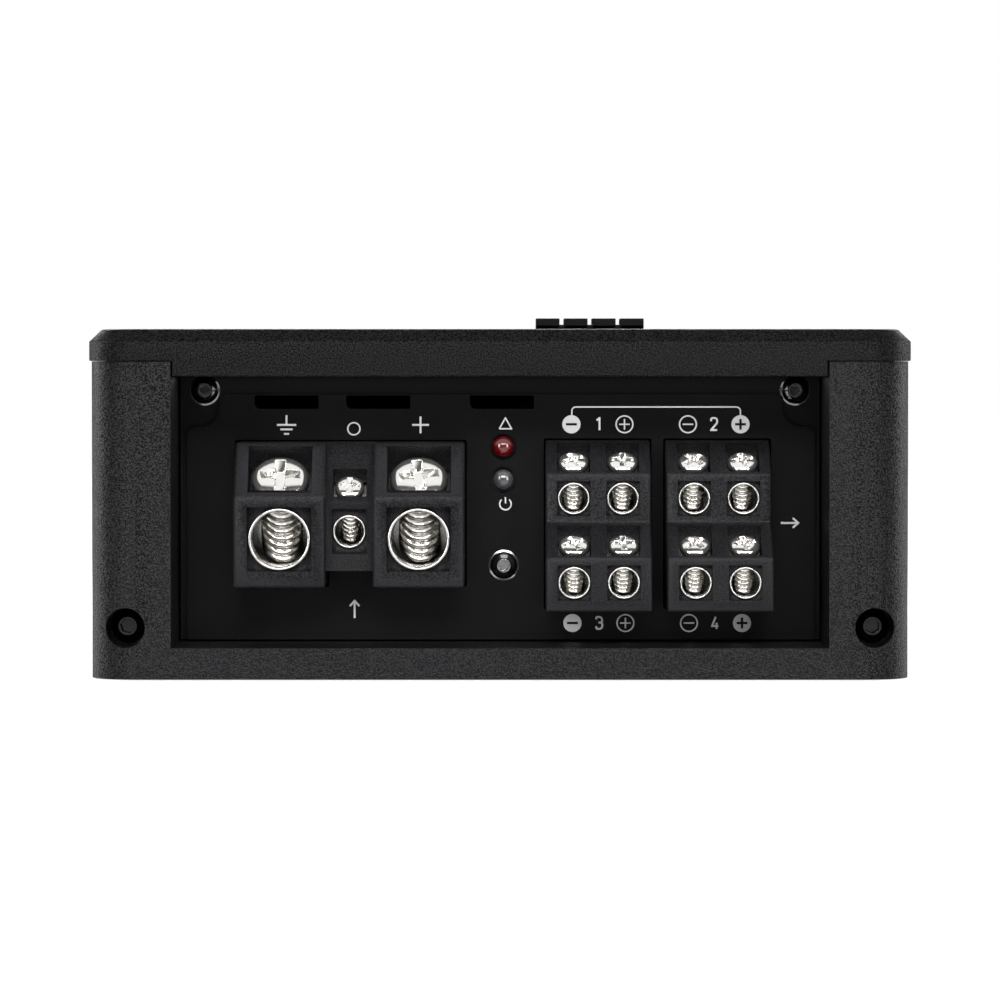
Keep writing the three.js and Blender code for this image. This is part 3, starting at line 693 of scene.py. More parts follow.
def make_floor():
    floor = turned([(0, -0.004), (3.0, -0.004), (3.0, 0.0), (0, 0.0)], 96)
    floor.name = "floor"
    floor.data.transform(Matrix.Translation((0, 0, -0.0002)))
    material, tree, shader = new_material("pale floor")
    shader.inputs["Roughness"].default_value = 0.9
    shader.inputs["Emission Color"].default_value = (1, 1, 1, 1)
    away = tree.nodes.new("ShaderNodeVectorMath")
    away.operation = "LENGTH"
    tree.links.new(object_coordinates(tree), away.inputs[0])
    near = tree.nodes.new("ShaderNodeMapRange")
    near.inputs["From Min"].default_value = 0.2
    near.inputs["From Max"].default_value = 0.45
    tree.links.new(away.outputs["Value"], near.inputs["Value"])
    tint = mix_colour(tree, near.outputs["Result"], (0.8, 0.8, 0.8), (0.06, 0.06, 0.06))
    tree.links.new(tint, shader.inputs["Base Color"])
    spread = map_range(tree, near.outputs["Result"], 0.8, 1.0)
    seen = shader_maths(tree, "MULTIPLY", seen_directly(tree), spread)
    tree.links.new(seen, shader.inputs["Emission Strength"])
    floor.data.materials.append(material)


def make_camera():
    stage = settings("stage")
    camera = bpy.data.cameras.new("camera")
    camera.lens = stage.lens
    camera.sensor_width = 36.0
    camera.clip_end = 20.0
    obj = bpy.data.objects.new("camera", camera)
    obj.location = (0.0, OUTER_PLANE * MM - stage.camera_distance, stage.eye_height)
    pitch = math.radians(1.54)
    obj.rotation_euler = (math.pi / 2 - pitch, 0, 0)
    bpy.context.scene.collection.objects.link(obj)
    bpy.context.scene.camera = obj


def make_lights():
    middle = (0, -0.08, 0.03)
    for side in (-1, 1):
        area_light("front strip", (side * 0.75, -1.05, 0.3), middle, (0.3, 0.75), 9)
        area_light("rear strip", (side * 0.9, 0.45, 0.3), middle, (0.5, 0.8), 9)
    area_light("key softbox", (0, -1.15, 0.66), middle, (0.9, 0.4), 17)
    area_light("overhead softbox", (0, 0.1, 1.2), middle, (1.0, 0.8), 4)
    area_light("rear softbox", (0, 1.2, 0.55), middle, (0.9, 0.4), 11)
    lip = area_light("lip strip", (0, OUTER_PLANE * MM + 0.0115, 0.0461),
                     (0, OUTER_PLANE * MM + 0.0115, 0), (0.098, 0.015), 0.005)
    lip.visible_camera = False


# ---------------------------------------------------------------- case
def corner_ring(half_x, half_y, radius, z):
    plan = rounded(rectangle((-half_x, half_x), (-half_y, half_y)), radius, 12)
    return [(x, y, z) for x, y in plan]


def make_cover():
    """The top cover: a thin cap with a chamfered rim whose ends drop between the posts."""
    case = sizes("case")
    half_x, half_y = COVER_X[1], COVER_Y[1]
    low, high = 46.25, 53.5
    across, down, soft = case.chamfer_across, case.chamfer_down, 0.3
    profile = [(0, low), (0, high - down - soft), (0.05, high - down - soft * 0.3),
               (0.25, high - down + soft * 0.3), (across - 0.35, high - soft * 0.55),
               (across - 0.02, high - soft * 0.12), (across + 0.4, high)]
    rings = [corner_ring(half_x - inset, half_y - inset, case.corner_radius - inset, z)
             for inset, z in profile]
    shell = loft(rings)
    wall = case.cover_wall
    inner = [corner_ring(half_x - wall, half_y - wall, case.corner_radius - wall, z)
             for z in (low - 5, high - wall)]
    reach = case.recess_half - 0.3
    sides = [block(xs, (-120, 120), (40, case.skirt_low))
             for xs in ((-80, -reach), (reach, 80))]
    cut(shell, loft(inner), *sides)
    soften(shell, 0.18, 2, 40)
    finished(shell, "cover_shell", MATERIALS["cover"], ["top_cover"])


def make_end_frames():
    """The two U shaped end castings, with counterbored holes in their lower corners."""
    case = sizes("case")
    half = FRAME_X[1]
    front, back = FRAME_Y
    radius = case.corner_radius - 0.4
    top = case.skirt_low - JOINT_LINE
    for name, node, turn in (("front_end_casting", "front_frame", 0.0),
                             ("rear_end_casting", "rear_frame", math.pi)):
        plan = rounded([(-half, front), (half, front), (half, back), (-half, back)],
                       [radius, radius, 0, 0], 16)
        casting = prism(plan, "Z", (0, top))
        lap = case.cover_wall - 0.1
        inset = rounded([(-half + lap, front + lap), (half - lap, front + lap),
                         (half - lap, back), (-half + lap, back)],
                        [radius - lap, radius - lap, 0, 0], 16)
        joined(casting, prism(inset, "Z", (top - 2, top + 1.3)))
        recess = block((-case.recess_half, case.recess_half), (front - 5, back + 5),
                       (case.rail_top, 80))
        sinks = [turned([(0, -20), (1.7, -20), (1.7, 0), (3.05, 0), (3.05, 20), (0, 20)], 40,
                        facing((x, front + 8.6, FRAME_SCREW_Z), (0, -1, 0)))
                 for x in (-FRAME_SCREW_X, FRAME_SCREW_X)]
        cut(casting, recess, *sinks)
        soften(casting, case.edge_round, 3, 40)
        casting.data.transform(Matrix.Rotation(turn, 4, "Z"))
        finished(casting, name, MATERIALS["powder"], [node])


def make_heatsink():
    """The extruded body, with round edged cooling fins along both walls."""
    case = sizes("case")
    outer, inner, floor = HEATSINK_X[1], 51.0, 4.0
    side, radii = [(outer, 0)], [0.6]
    for fin in range(6):
        low = 14 + fin * case.fin_pitch
        high = low + case.fin_groove
        side += [(outer, low), (outer - 6.5, low + 0.4), (outer - 6.5, high - 0.4), (outer, high)]
        radii += [0.6, 0.8, 0.8, 0.6]
    top = case.skirt_low - JOINT_LINE
    side += [(outer, top), (outer - 2, top), (outer - 2, top + 1.3), (inner, top + 1.3), (inner, floor)]
    radii += [0.4, 0, 0.2, 0.2, 1.5]
    outline = side + [(-x, z) for x, z in reversed(side)]
    body = prism(rounded(outline, radii + radii[::-1], 5), "Y", HEATSINK_Y)
    sinks = [turned([(0, -1), (3.1, -1), (3.1, 2.2), (0, 2.2)], 32, Matrix.Translation((x, y, 0)))
             for x in (-COVER_SCREW_X, COVER_SCREW_X) for y in (-COVER_SCREW_Y, COVER_SCREW_Y)]
    cut(body, *sinks)
    crisp(body)
    finished(body, "finned_body", MATERIALS["powder"], ["heatsink"])


def make_badge():
    """Four equal, plain upright blocks on a thin backing."""
    xs, ys, zs = (span("badge", axis) for axis in range(3))
    gap = 0.7
    width = (xs[1] - xs[0] - 3 * gap) / 4
    parts = [block(xs, ys, (53.45, zs[0] + 0.5))]
    for number in range(4):
        left = xs[0] + number * (width + gap)
        parts.append(block((left, left + width), ys, (53.6, zs[1])))
    badge = together([soften(part, 0.12, 2) for part in parts])
    finished(badge, "badge_blocks", MATERIALS["satin"], ["badge"])


# ---------------------------------------------------------------- end panels
def through(xs, zs, radii=0.25):
    """A cutter for an opening in an end panel."""
    return prism(rounded(rectangle(xs, zs), radii, 4), "Y", (PANEL_Y[0] - 5, PANEL_Y[1] + 5))


def bore(x, z, radius):
    return prism(circle(radius, 40, (x, z)), "Y", (PANEL_Y[0] - 5, PANEL_Y[1] + 5))


def end_panel(cutters):
    """A flat plate with a raised middle that is notched round its two upper screws."""
    face = PANEL_Y[0] + PANEL_STEP
    plate = prism(rectangle(PANEL_X, PANEL_Z), "Y", (face, PANEL_Y[1]))
    low, high, notch = PANEL_Z[0], 43.35, 5.1
    left, right = -48.8, 49.1
    outline = [(left, low), (right, low), (right, high - notch), (right - notch * 0.62, high - notch),
               (right - notch, high - notch * 0.62), (right - notch, high), (left + notch, high),
               (left + notch, high - notch * 0.62), (left + notch * 0.62, high - notch),
               (left, high - notch)]
    radii = [0, 0, 1.2, 3.0, 3.0, 1.2, 1.2, 3.0, 3.0, 1.2]
    plateau = prism(rounded(outline, radii, 7), "Y", (PANEL_Y[0], face + 0.4))
    joined(plate, plateau)
    cut(plate, *cutters)
    return soften(plate, 0.22, 3, 40)


def vents(lefts):
    """Slots, each with one softer lower corner."""
    return [through((left, left + 10.0), (41.1, 43.2), [0.9, 0.2, 0.2, 0.2]) for left in lefts]


def grown(low_high):
    return low_high[0] - 0.25, low_high[1] + 0.25


def block_openings():
    """The openings in the front panel that the terminal mouldings pass through."""
    cutters = []
    for side in ("left", "right"):
        node = "speaker_terminal_block_" + side
        cutters.append(through(grown(span(node, 0)), grown(span(node, 2))))
    for name, xs in POWER_WALLS.items():
        low = REMOTE_FOOT if name == "remote" else POWER_FOOT
        cutters.append(through(grown(xs), grown((low, POWER_TOP))))
    return cutters


PANEL_SCREW_PLACES = [(-PANEL_SCREW_X, PANEL_SCREW_Z), (PANEL_SCREW_X, PANEL_SCREW_Z)]
LAMPS = [("indicator_pro", "red lens", "red_lens"), ("indicator_pwr", "grey lens", "grey_lens")]
LAMP_X = 0.5
LAMP_HEIGHTS = {"indicator_pro": 35.2, "indicator_pwr": 30.05}
CENTRE_SCREW = (0.6, 16.7)


def make_front_panel():
    holes = [bore(x, z, 1.7) for x, z in PANEL_SCREW_PLACES + [CENTRE_SCREW]]
    holes += [bore(LAMP_X, z, 2.05) for z in LAMP_HEIGHTS.values()]
    panel = end_panel(vents((-38.3, -24.0, -4.7)) + block_openings() + holes)
    finished(panel, "terminal_panel", MATERIALS["satin"], ["front_panel"])


RCA_PLACES = [(x, z) for x in (-35.0, -21.0) for z in (31.0, 17.0)]
KNOB_XS = (0.0, 12.5, 25.0, 37.5)
KNOB_Z = 31.0
SWITCH_XS = (6.25, 31.25)
SWITCH_Z = 16.0


def make_rear_panel():
    holes = [bore(x, z, 1.7) for x, z in PANEL_SCREW_PLACES]
    holes += [bore(x, z, 4.45) for x, z in RCA_PLACES]
    holes += [bore(x, KNOB_Z, 3.7) for x in KNOB_XS]
    holes += [through((x - 4.1, x + 4.1), (SWITCH_Z - 2.1, SWITCH_Z + 2.1)) for x in SWITCH_XS]
    panel = end_panel(vents((-41.5, -30.0, -18.5)) + holes)
    panel.data.transform(Matrix.Rotation(math.pi, 4, "Z"))
    finished(panel, "input_panel", MATERIALS["satin"], ["rear_panel"])


# ---------------------------------------------------------------- terminals
class Cell:
    """One terminal: its wire window, the slanted face above it and the screw square to that face."""

    def __init__(self, kind, slope, window, tall, along, front, wire_z, screw_at, head, head_tall,
                 sunk, shank, tip):
        self.slope = math.radians(slope)
        self.window, self.tall, self.along = window, tall, along
        self.front, self.wire_z, self.screw_at = front, wire_z, screw_at
        self.head, self.head_tall, self.sunk = head, head_tall, sunk
        self.shank, self.tip, self.kind = shank, tip, kind

    def pitch(self):
        return getattr(sizes("terminals"), self.kind + "_pitch")

    def outwards(self):
        return Vector((0, -math.sin(self.slope), math.cos(self.slope)))

    def screw_frame(self, x, turn=0.0):
        """The matrix for a piece made about Z whose top lies on the slanted face."""
        depth, z = self.screw_at
        return facing((x, OUTER_PLANE + depth, z), self.outwards(), turn)

    def shaft_reach(self):
        return (self.screw_at[1] - self.wire_z) / math.cos(self.slope)


POWER = Cell("power", 45, 9.9, 9.9, 8.9, 8.1, 21.15, (12.25, 31.85), 4.45, 2.4, 0.9, 3.3, 17.8)
REMOTE = Cell("remote", 45, 5.3, 6.9, 5.9, 10.0, 22.3, (12.9, 29.8), 2.25, 1.5, 0.35, 1.6, 12.0)
LOWER = Cell("speaker", 34.4, 5.15, 5.4, 7.8, 5.7, 14.55, (9.4, 20.93), 2.4, 1.5, 0.2, 1.75, 9.0)
UPPER = Cell("speaker", 34.4, 5.15, 5.4, 7.8, 13.3, 27.3, (17.0, 33.63), 2.4, 1.5, 0.2, 1.75, 9.0)

SPEAKER_CENTRES = {"left": 15.22, "right": 33.88}
SPEAKER_PITCH = 7.62
CELLS = [("ground", POWER, -34.0, 0.0), ("supply", POWER, -12.525, 0.12),
         ("remote", REMOTE, -23.25, 0.0)]
SPEAKER_TURNS = iter((0.45, 0.5, 0.0, 0.05, 0.78, 0.7, 0.3, 0.25))
for side, centre in SPEAKER_CENTRES.items():
    for column, offset in ((1, -SPEAKER_PITCH / 2), (2, SPEAKER_PITCH / 2)):
        for deck, cell in (("upper", UPPER), ("lower", LOWER)):
            CELLS.append((f"speaker_{side}_{deck}_{column}", cell, centre + offset,
                          next(SPEAKER_TURNS)))


def cell_cutters(cell, x):
    """The wire window with the room behind it, and the square shaft of the screw."""
    half, rise = cell.window / 2, cell.tall / 2
    front = OUTER_PLANE + cell.front
    xs, zs = (x - half, x + half), (cell.wire_z - rise, cell.wire_z + rise)
    web = front + half * 0.35
    mouth = block(xs, (front - 5, web), zs)
    ring = prism(circle(half - 0.06, 64, (x, cell.wire_z)), "Y", (front - 5, OUTER_PLANE + 40))
    tunnel = block(xs, (web + 0.8, OUTER_PLANE + 40), zs)
    reach = cell.along / 2
    shaft = block((-half, half), (-reach, reach), (-cell.head_tall - 1.2, 5))
    narrow = block((-half, half), (-half, half), (-cell.shaft_reach(), 0))
    for cutter in (shaft, narrow):
        cutter.data.transform(cell.screw_frame(x))
    return [mouth, ring, tunnel, shaft, narrow]


def side_profile(points, xs):
    return prism([(OUTER_PLANE + depth, z) for depth, z in points], "X", xs)


def make_terminal_blocks():
    """The three mouldings that hold the clamps."""
    soft = sizes("terminals").edge_round
    back = 34.0

    def stepped(front, low, ridge, high, rear):
        return [(rear, low), (front, low), (front, ridge), (front + high - ridge, high),
                (rear, high)]

    tall = stepped(POWER.front, POWER_FOOT, 27.7, POWER_TOP, back)
    ground = side_profile(tall, POWER_WALLS["ground"])
    supply = side_profile(tall, POWER_WALLS["supply"])
    remote = side_profile(stepped(REMOTE.front, REMOTE_FOOT, 26.9, POWER_TOP, back),
                          POWER_WALLS["remote"])
    for wall in (ground, supply):
        soften(wall, soft * 1.8, 3)
    power = joined(ground, supply, remote)
    cut(power, *[tool for entry in CELLS[:3] for tool in cell_cutters(*entry[1:3])])
    crisp(power)
    finished(power, "power_terminal_moulding", MATERIALS["moulding"],
             ["power_terminal_block"])
    profile = [(back, 10.1), (back, 36.25), (20.9, 36.25), (13.3, 31.1), (13.3, 23.6),
               (5.7, 18.4), (5.7, 10.1)]
    for side, centre in SPEAKER_CENTRES.items():
        moulding = side_profile(profile, (centre - 8.15, centre + 8.15))
        soften(moulding, soft * 1.2, 3, 20)
        mine = [entry for entry in CELLS if f"speaker_{side}" in entry[0]]
        cut(moulding, *[tool for entry in mine for tool in cell_cutters(*entry[1:3])])
        crisp(moulding)
        finished(moulding, f"speaker_terminal_moulding_{side}",
                 MATERIALS["moulding"], [f"speaker_terminal_block_{side}"])


def make_clamps():
    """The plated clamp in each terminal: a round mouthed collar on a drilled block."""
    for name, cell, x, _ in CELLS:
        front = OUTER_PLANE + cell.front
        half = cell.window / 2 - 0.12
        wall = half * sizes("terminals").collar_wall
        rise = cell.tall / 2 - 0.25
        lip = half - wall
        back = span(f"{name}_clamp", 1)[1]
        setback = 8.0 if cell.kind == "power" else 4.5
        body = block((x - half, x + half), (front + setback, back),
                     (cell.wire_z - rise, cell.wire_z + rise))
        boss = block((-half, half), (-half, half),
                     (-cell.shaft_reach(), -cell.sunk - cell.head_tall - 0.25 * cell.window))
        boss.data.transform(cell.screw_frame(x))
        joined(body, boss)
        hole = turned([(0, -back + front + 1), (lip, -back + front + 1), (lip, 6), (0, 6)], 48,
                      facing((x, front, cell.wire_z), (0, -1, 0)))
        thread = turned([(0, -cell.tip - 0.3), (cell.shank + 0.1, -cell.tip - 0.3),
                         (cell.shank + 0.1, 1), (0, 1)], 40, cell.screw_frame(x))
        cut(body, hole)
        cut(body, thread)
        outline = rounded([(lip, -setback - 0.3), (half, -setback - 0.3), (half, -0.2),
                           (lip, -0.2)], [0, 0, wall * 0.48, wall * 0.48], 6)
        collar = tube(outline, 64, facing((x, front, cell.wire_z), (0, -1, 0)))
        tail = span(f"{name}_clamp", 2)[0]
        width = 3.5 if cell.kind == "power" else 1.5
        leg = soften(block((x - width, x + width), (back - 0.9, back), (tail, cell.wire_z)), 0.1, 2)
        clamp = together([crisp(body), crisp(collar), leg])
        finished(clamp, f"{name}_terminal_clamp", MATERIALS["nickel"], [f"{name}_clamp"])


def drive_cross(reach, wide, deep):
    """A cutter for a cross recess: two bars that taper towards their floor."""
    parts = []
    for turn in (0, math.pi / 2):
        rings = []
        for long, broad, z in ((1.3, 1.15, 1.0), (1.0, 1.0, -deep * 0.25), (0.62, 0.8, -deep)):
            rings.append([(x, y, z) for x, y in rectangle(
                (-reach * long, reach * long), (-wide / 2 * broad, wide / 2 * broad))])
        bar = loft(rings)
        bar.data.transform(Matrix.Rotation(turn, 4, "Z"))
        parts.append(bar)
    return parts


def pan_head(cell):
    """A domed head with a deep cross recess."""
    radius, tall = cell.head, cell.head_tall
    rim = tall * 0.55
    dome = [(0, -tall), (radius * 0.96, -tall), (radius, -tall + 0.06 * radius)]
    dome += [(radius * math.cos(math.radians(a)) ** 0.7,
              -rim + rim * math.sin(math.radians(a))) for a in range(0, 90, 9)]
    dome += [(0, 0)]
    head = turned(dome, 64)
    cut(head, *drive_cross(radius * 0.68, radius * 0.36, tall * 0.72))
    return soften(head, radius * 0.03, 2, 38)


def geometry_tree(name, inputs):
    """An empty Geometry Nodes tree with named inputs, their identifiers, and its input sockets."""
    tree = bpy.data.node_groups.new(name, "GeometryNodeTree")
    identifiers = {}
    for title, kind, value in inputs:
        socket = tree.interface.new_socket(title, in_out="INPUT", socket_type="NodeSocket" + kind)
        if value is not None:
            socket.default_value = value
        identifiers[title] = socket.identifier
    tree.interface.new_socket("Geometry", in_out="OUTPUT", socket_type="NodeSocketGeometry")
    return tree, identifiers, tree.nodes.new("NodeGroupInput").outputs


def close_tree(tree, geometry, material):
    """Ends a tree with real meshes in the given material."""
    whole = tree.nodes.new("GeometryNodeRealizeInstances")
    tree.links.new(geometry, whole.inputs["Geometry"])
    dress = tree.nodes.new("GeometryNodeSetMaterial")
    tree.links.new(whole.outputs["Geometry"], dress.inputs["Geometry"])
    tree.links.new(material, dress.inputs["Material"])
    result = tree.nodes.new("NodeGroupOutput").inputs["Geometry"]
    tree.links.new(dress.outputs["Geometry"], result)


def screw_tree():
    """Geometry Nodes: a threaded shank under a ready made head."""
    tree, sockets, given = geometry_tree("threaded screw", [
        ("Head", "Object", None), ("Shank radius", "Float", 1.5), ("Thread length", "Float", 6.0),
        ("Head height", "Float", 1.5), ("Pitch", "Float", 0.6), ("Material", "Material", None)])
    nodes, links = tree.nodes, tree.links

    def moved_down(geometry, distance):
        offset = nodes.new("ShaderNodeCombineXYZ")
        links.new(shader_maths(tree, "MULTIPLY", distance, -1.0), offset.inputs["Z"])
        move = nodes.new("GeometryNodeTransform")
        links.new(geometry, move.inputs["Geometry"])
        links.new(offset.outputs[0], move.inputs["Translation"])
        return move.outputs["Geometry"]

    ridge = shader_maths(tree, "MULTIPLY", given["Pitch"], 0.4)
    path_radius = shader_maths(tree, "SUBTRACT", given["Shank radius"], ridge)
    spiral = nodes.new("GeometryNodeCurveSpiral")
    spiral.inputs["Resolution"].default_value = 36
    turns = shader_maths(tree, "DIVIDE", given["Thread length"], given["Pitch"])
    links.new(turns, spiral.inputs["Rotations"])
    links.new(path_radius, spiral.inputs["Start Radius"])
    links.new(path_radius, spiral.inputs["End Radius"])
    links.new(given["Thread length"], spiral.inputs["Height"])
    profile = nodes.new("GeometryNodeCurvePrimitiveCircle")
    profile.inputs["Resolution"].default_value = 8
    links.new(ridge, profile.inputs["Radius"])
    sweep = nodes.new("GeometryNodeCurveToMesh")
    links.new(spiral.outputs["Curve"], sweep.inputs["Curve"])
    links.new(profile.outputs["Curve"], sweep.inputs["Profile Curve"])
    sweep.inputs["Fill Caps"].default_value = True
    core = nodes.new("GeometryNodeMeshCylinder")
    core.inputs["Vertices"].default_value = 40
    links.new(path_radius, core.inputs["Radius"])
    links.new(given["Thread length"], core.inputs["Depth"])
    foot = shader_maths(tree, "ADD", given["Head height"], given["Thread length"])
    half_thread = shader_maths(tree, "MULTIPLY", given["Thread length"], 0.5)
    centre = shader_maths(tree, "ADD", given["Head height"], half_thread)
    head = nodes.new("GeometryNodeObjectInfo")
    links.new(given["Head"], head.inputs["Object"])
    join = nodes.new("GeometryNodeJoinGeometry")
    links.new(moved_down(sweep.outputs["Mesh"], foot), join.inputs["Geometry"])
    links.new(moved_down(core.outputs["Mesh"], centre), join.inputs["Geometry"])
    links.new(head.outputs["Geometry"], join.inputs["Geometry"])
    close_tree(tree, join.outputs["Geometry"], given["Material"])
    return tree, sockets


def threaded(tree, sockets, head, values, material):
    """A plain mesh of a head with its threaded shank."""
    carrier = new_object("screw", bpy.data.meshes.new("screw"))
    modifier = carrier.modifiers.new("screw", "NODES")
    modifier.node_group = tree
    modifier[sockets["Head"]] = head
    modifier[sockets["Material"]] = material
    for title, value in values:
        modifier[sockets[title]] = float(value)
    return settle(carrier)


def make_clamp_screws():
    """The eleven plated clamp screws."""
    tree, sockets = screw_tree()
    heads = {}
    for name, cell, x, turn in CELLS:
        key = (cell.head, cell.shank, cell.tip)
        if key not in heads:
            heads[key] = pan_head(cell)
        screw = threaded(tree, sockets, heads[key], [
            ("Shank radius", cell.shank), ("Head height", cell.head_tall - 0.1), ("Pitch", cell.pitch()),
            ("Thread length", cell.tip - cell.sunk - cell.head_tall),
        ], MATERIALS["satin nickel"])
        crisp(screw, 50)
        lowered = Matrix.Translation((0, 0, -cell.sunk))
        screw.data.transform(cell.screw_frame(x, turn) @ lowered)
        node = f"{name}_clamp_screw"
        finished(screw, f"{name}_threaded_screw", MATERIALS["satin nickel"], [node],
                 node)
    for head in heads.values():
        bpy.data.objects.remove(head)


# ---------------------------------------------------------------- fasteners and lamps
def button_screw(flange, dome, tall, socket, shank):
    """A domed screw with a hexagon socket, about Z, its top at the origin."""
    rim = 0.35
    arc = [(dome * math.cos(math.radians(a)), -tall + rim + (tall - rim) * math.sin(math.radians(a)))
           for a in range(0, 90, 8)]
    flat = [(socket * 1.25, -0.02), (0, -0.02)]
    body = turned([(0, -tall - 4), (shank, -tall - 4), (shank, -tall), (flange, -tall),
                   (flange, -tall + 0.28)] + [p for p in arc if p[0] > socket * 1.3] + flat, 56)
    cut(body, prism(circle(socket, 6), "Z", (-tall * 0.75, 2)))
    return soften(body, 0.05, 2, 40)


def make_fasteners():
    """Panel, frame and cover screws."""
    front, rear = (0, -1, 0), (0, 1, 0)
    y_panel = PANEL_Y[0] + PANEL_STEP
    places = []
    panel_z, frame_z = PANEL_SCREW_Z, FRAME_SCREW_Z
    for side, sign in (("left", -1), ("right", 1)):
        x, y = sign * PANEL_SCREW_X, y_panel - 1.6
        places.append((f"front_panel_screw_{side}", (x, y, panel_z), front, "panel"))
        places.append((f"rear_panel_screw_{side}", (-x, -y, panel_z), rear, "panel"))
    for side, sign in (("left", -1), ("right", 1)):
        x, y = sign * FRAME_SCREW_X, FRAME_Y[0] + 6.4
        places.append((f"front_frame_screw_{side}", (x, y, frame_z), front, "frame"))
        places.append((f"rear_frame_screw_{side}", (-x, -y, frame_z), rear, "frame"))
    centre = (CENTRE_SCREW[0], PANEL_Y[0] - 1.6, CENTRE_SCREW[1])
    places.append(("front_panel_screw_centre", centre, front, "panel"))
    underside = [(x, y) for y in (-COVER_SCREW_Y, COVER_SCREW_Y)
                 for x in (-COVER_SCREW_X, COVER_SCREW_X)]
    for number, (x, y) in enumerate(underside):
        places.append((f"cover_screw_{number + 1}", (x, y, 0.35), (0, 0, -1), "frame"))
    kinds = {"panel": (2.4, 2.1, 1.85, 0.85, 1.4), "frame": (2.65, 2.5, 2.1, 1.15, 1.4)}
    for number, (node, point, outwards, kind) in enumerate(places):
        screw = button_screw(*kinds[kind])
        screw.data.transform(facing(point, outwards, 0.35 + number * 0.9))
        look = "black nickel" if "panel" in node else "zinc"
        if node.endswith("centre"):
            look = "dark nickel"
        finished(screw, node + "_button_head", MATERIALS[look], [node])


def make_lamps():
    """The two round lenses, with their legs behind the panel."""
    for node, look, slot in LAMPS:
        z = LAMP_HEIGHTS[node]
        radius = 1.62
        dome = [(0, -6.2), (2.4, -6.2), (2.4, -5.0), (radius, -5.0), (radius, -1.25)]
        dome += [(radius * math.cos(math.radians(a)), -1.25 + 1.25 * math.sin(math.radians(a)))
                 for a in range(8, 90, 8)] + [(0, 0)]
        lens = crisp(turned(dome, 48, facing((LAMP_X, OUTER_PLANE + 19.3, z), (0, -1, 0))))
        bend = span(node, 1)[1]
        low = span(node, 2)[0]
        legs = []
        for offset in (-0.95, 0.95):
            xs = (LAMP_X + offset - 0.25, LAMP_X + offset + 0.25)
            legs.append(block(xs, (OUTER_PLANE + 25, bend), (z - 0.25, z + 0.25)))
            legs.append(block(xs, (bend - 0.5, bend), (low, z + 0.25)))
        finished(lens, node + "_lens", MATERIALS[look], [node])
        finished(together(legs), node + "_legs", MATERIALS["nickel"])


# ---------------------------------------------------------------- printed legends
# A numeral is (width, strokes) on a height of one, and a stroke is its points: (x, y), or
# (x, y, corner radius).
W = 0.5
R = 0.25
NUMERALS = {
    1: (0.24, [[(0, 0.8), (0.24, 1), (0.24, 0)]]),
    2: (W, [[(0, 0.74), (0, 1, R), (W, 1, R), (W, 0.6, 0.2), (0, 0), (W, 0)]]),
    3: (W, [[(0, 0.8), (0, 1, R), (0.48, 1, R), (0.48, 0.53, 0.2), (0.18, 0.53)],
            [(0.18, 0.53), (W, 0.53, 0.24), (W, 0, R), (0, 0, R), (0, 0.22)]]),
    4: (0.52, [[(0.3, 1), (0, 0.24), (0.52, 0.24)], [(0.38, 0.52), (0.38, 0)]]),
}


def unbent(line, overlap):
    """A line broken at its sharp corners, each part reaching a little past the corner."""
    points = [Vector(line[0])]
    for place in line[1:]:
        if (Vector(place) - points[-1]).length > 1e-4:
            points.append(Vector(place))
    parts, start = [], 0
    for k in range(1, len(points) - 1):
        if (points[k] - points[k - 1]).angle(points[k + 1] - points[k]) > math.radians(30):
            parts.append(points[start:k + 1])
            start = k
    parts.append(points[start:])
    for number, part in enumerate(parts):
        if number > 0:
            part[0] = part[0] + (part[0] - part[1]).normalized() * overlap
        if number < len(parts) - 1:
            part[-1] = part[-1] + (part[-1] - part[-2]).normalized() * overlap
    return [[tuple(p) for p in part] for part in parts]


def numeral(number, x, foot, height):
    """A numeral's strokes in its natural width, centred on x."""
    width, strokes = NUMERALS[number]
    lines = []
    for stroke in strokes:
        points = [(x + (p[0] - width / 2) * height, foot + p[1] * height) for p in stroke]
        radii = [p[2] * height if len(p) > 2 else 0 for p in stroke]
        lines.append(rounded(points, radii, 5, closed=False))
    return lines


def cross_sign(x, z, arm):
    """The strokes of a plus sign."""
    return [[(x - arm, z), (x + arm, z)], [(x, z - arm), (x, z + arm)]]


def earth_sign(x, top):
    """The strokes of an earth sign: a stem on three bars that grow shorter."""
    lines = [[(x, top), (x, top - 1.5)]]
    for step, reach in enumerate((1.5, 0.95, 0.4)):
        level = top - 1.5 - 0.7 * step
        lines.append([(x - reach, level), (x + reach, level)])
    return lines


def power_sign(x, z, radius):
    """The strokes of a power sign: a ring open at the top, with a stem in the gap."""
    ring = []
    for step in range(25):
        angle = math.radians(130 + 280 * step / 24)
        ring.append((x + radius * math.cos(angle), z + radius * math.sin(angle)))
    return [ring, [(x, z + 0.1), (x, z + radius * 1.15)]]


def arrow(x, z, reach, turn=0.0):
    """The strokes of an arrow that points up, or turned clockwise from there by degrees."""
    angle = math.radians(-turn)
    lines = [[(0, -reach), (0, reach)], [(-0.75, reach - 0.85), (0, reach), (0.75, reach - 0.85)]]
    return [[(x + u * math.cos(angle) - v * math.sin(angle),
              z + u * math.sin(angle) + v * math.cos(angle)) for u, v in line] for line in lines]


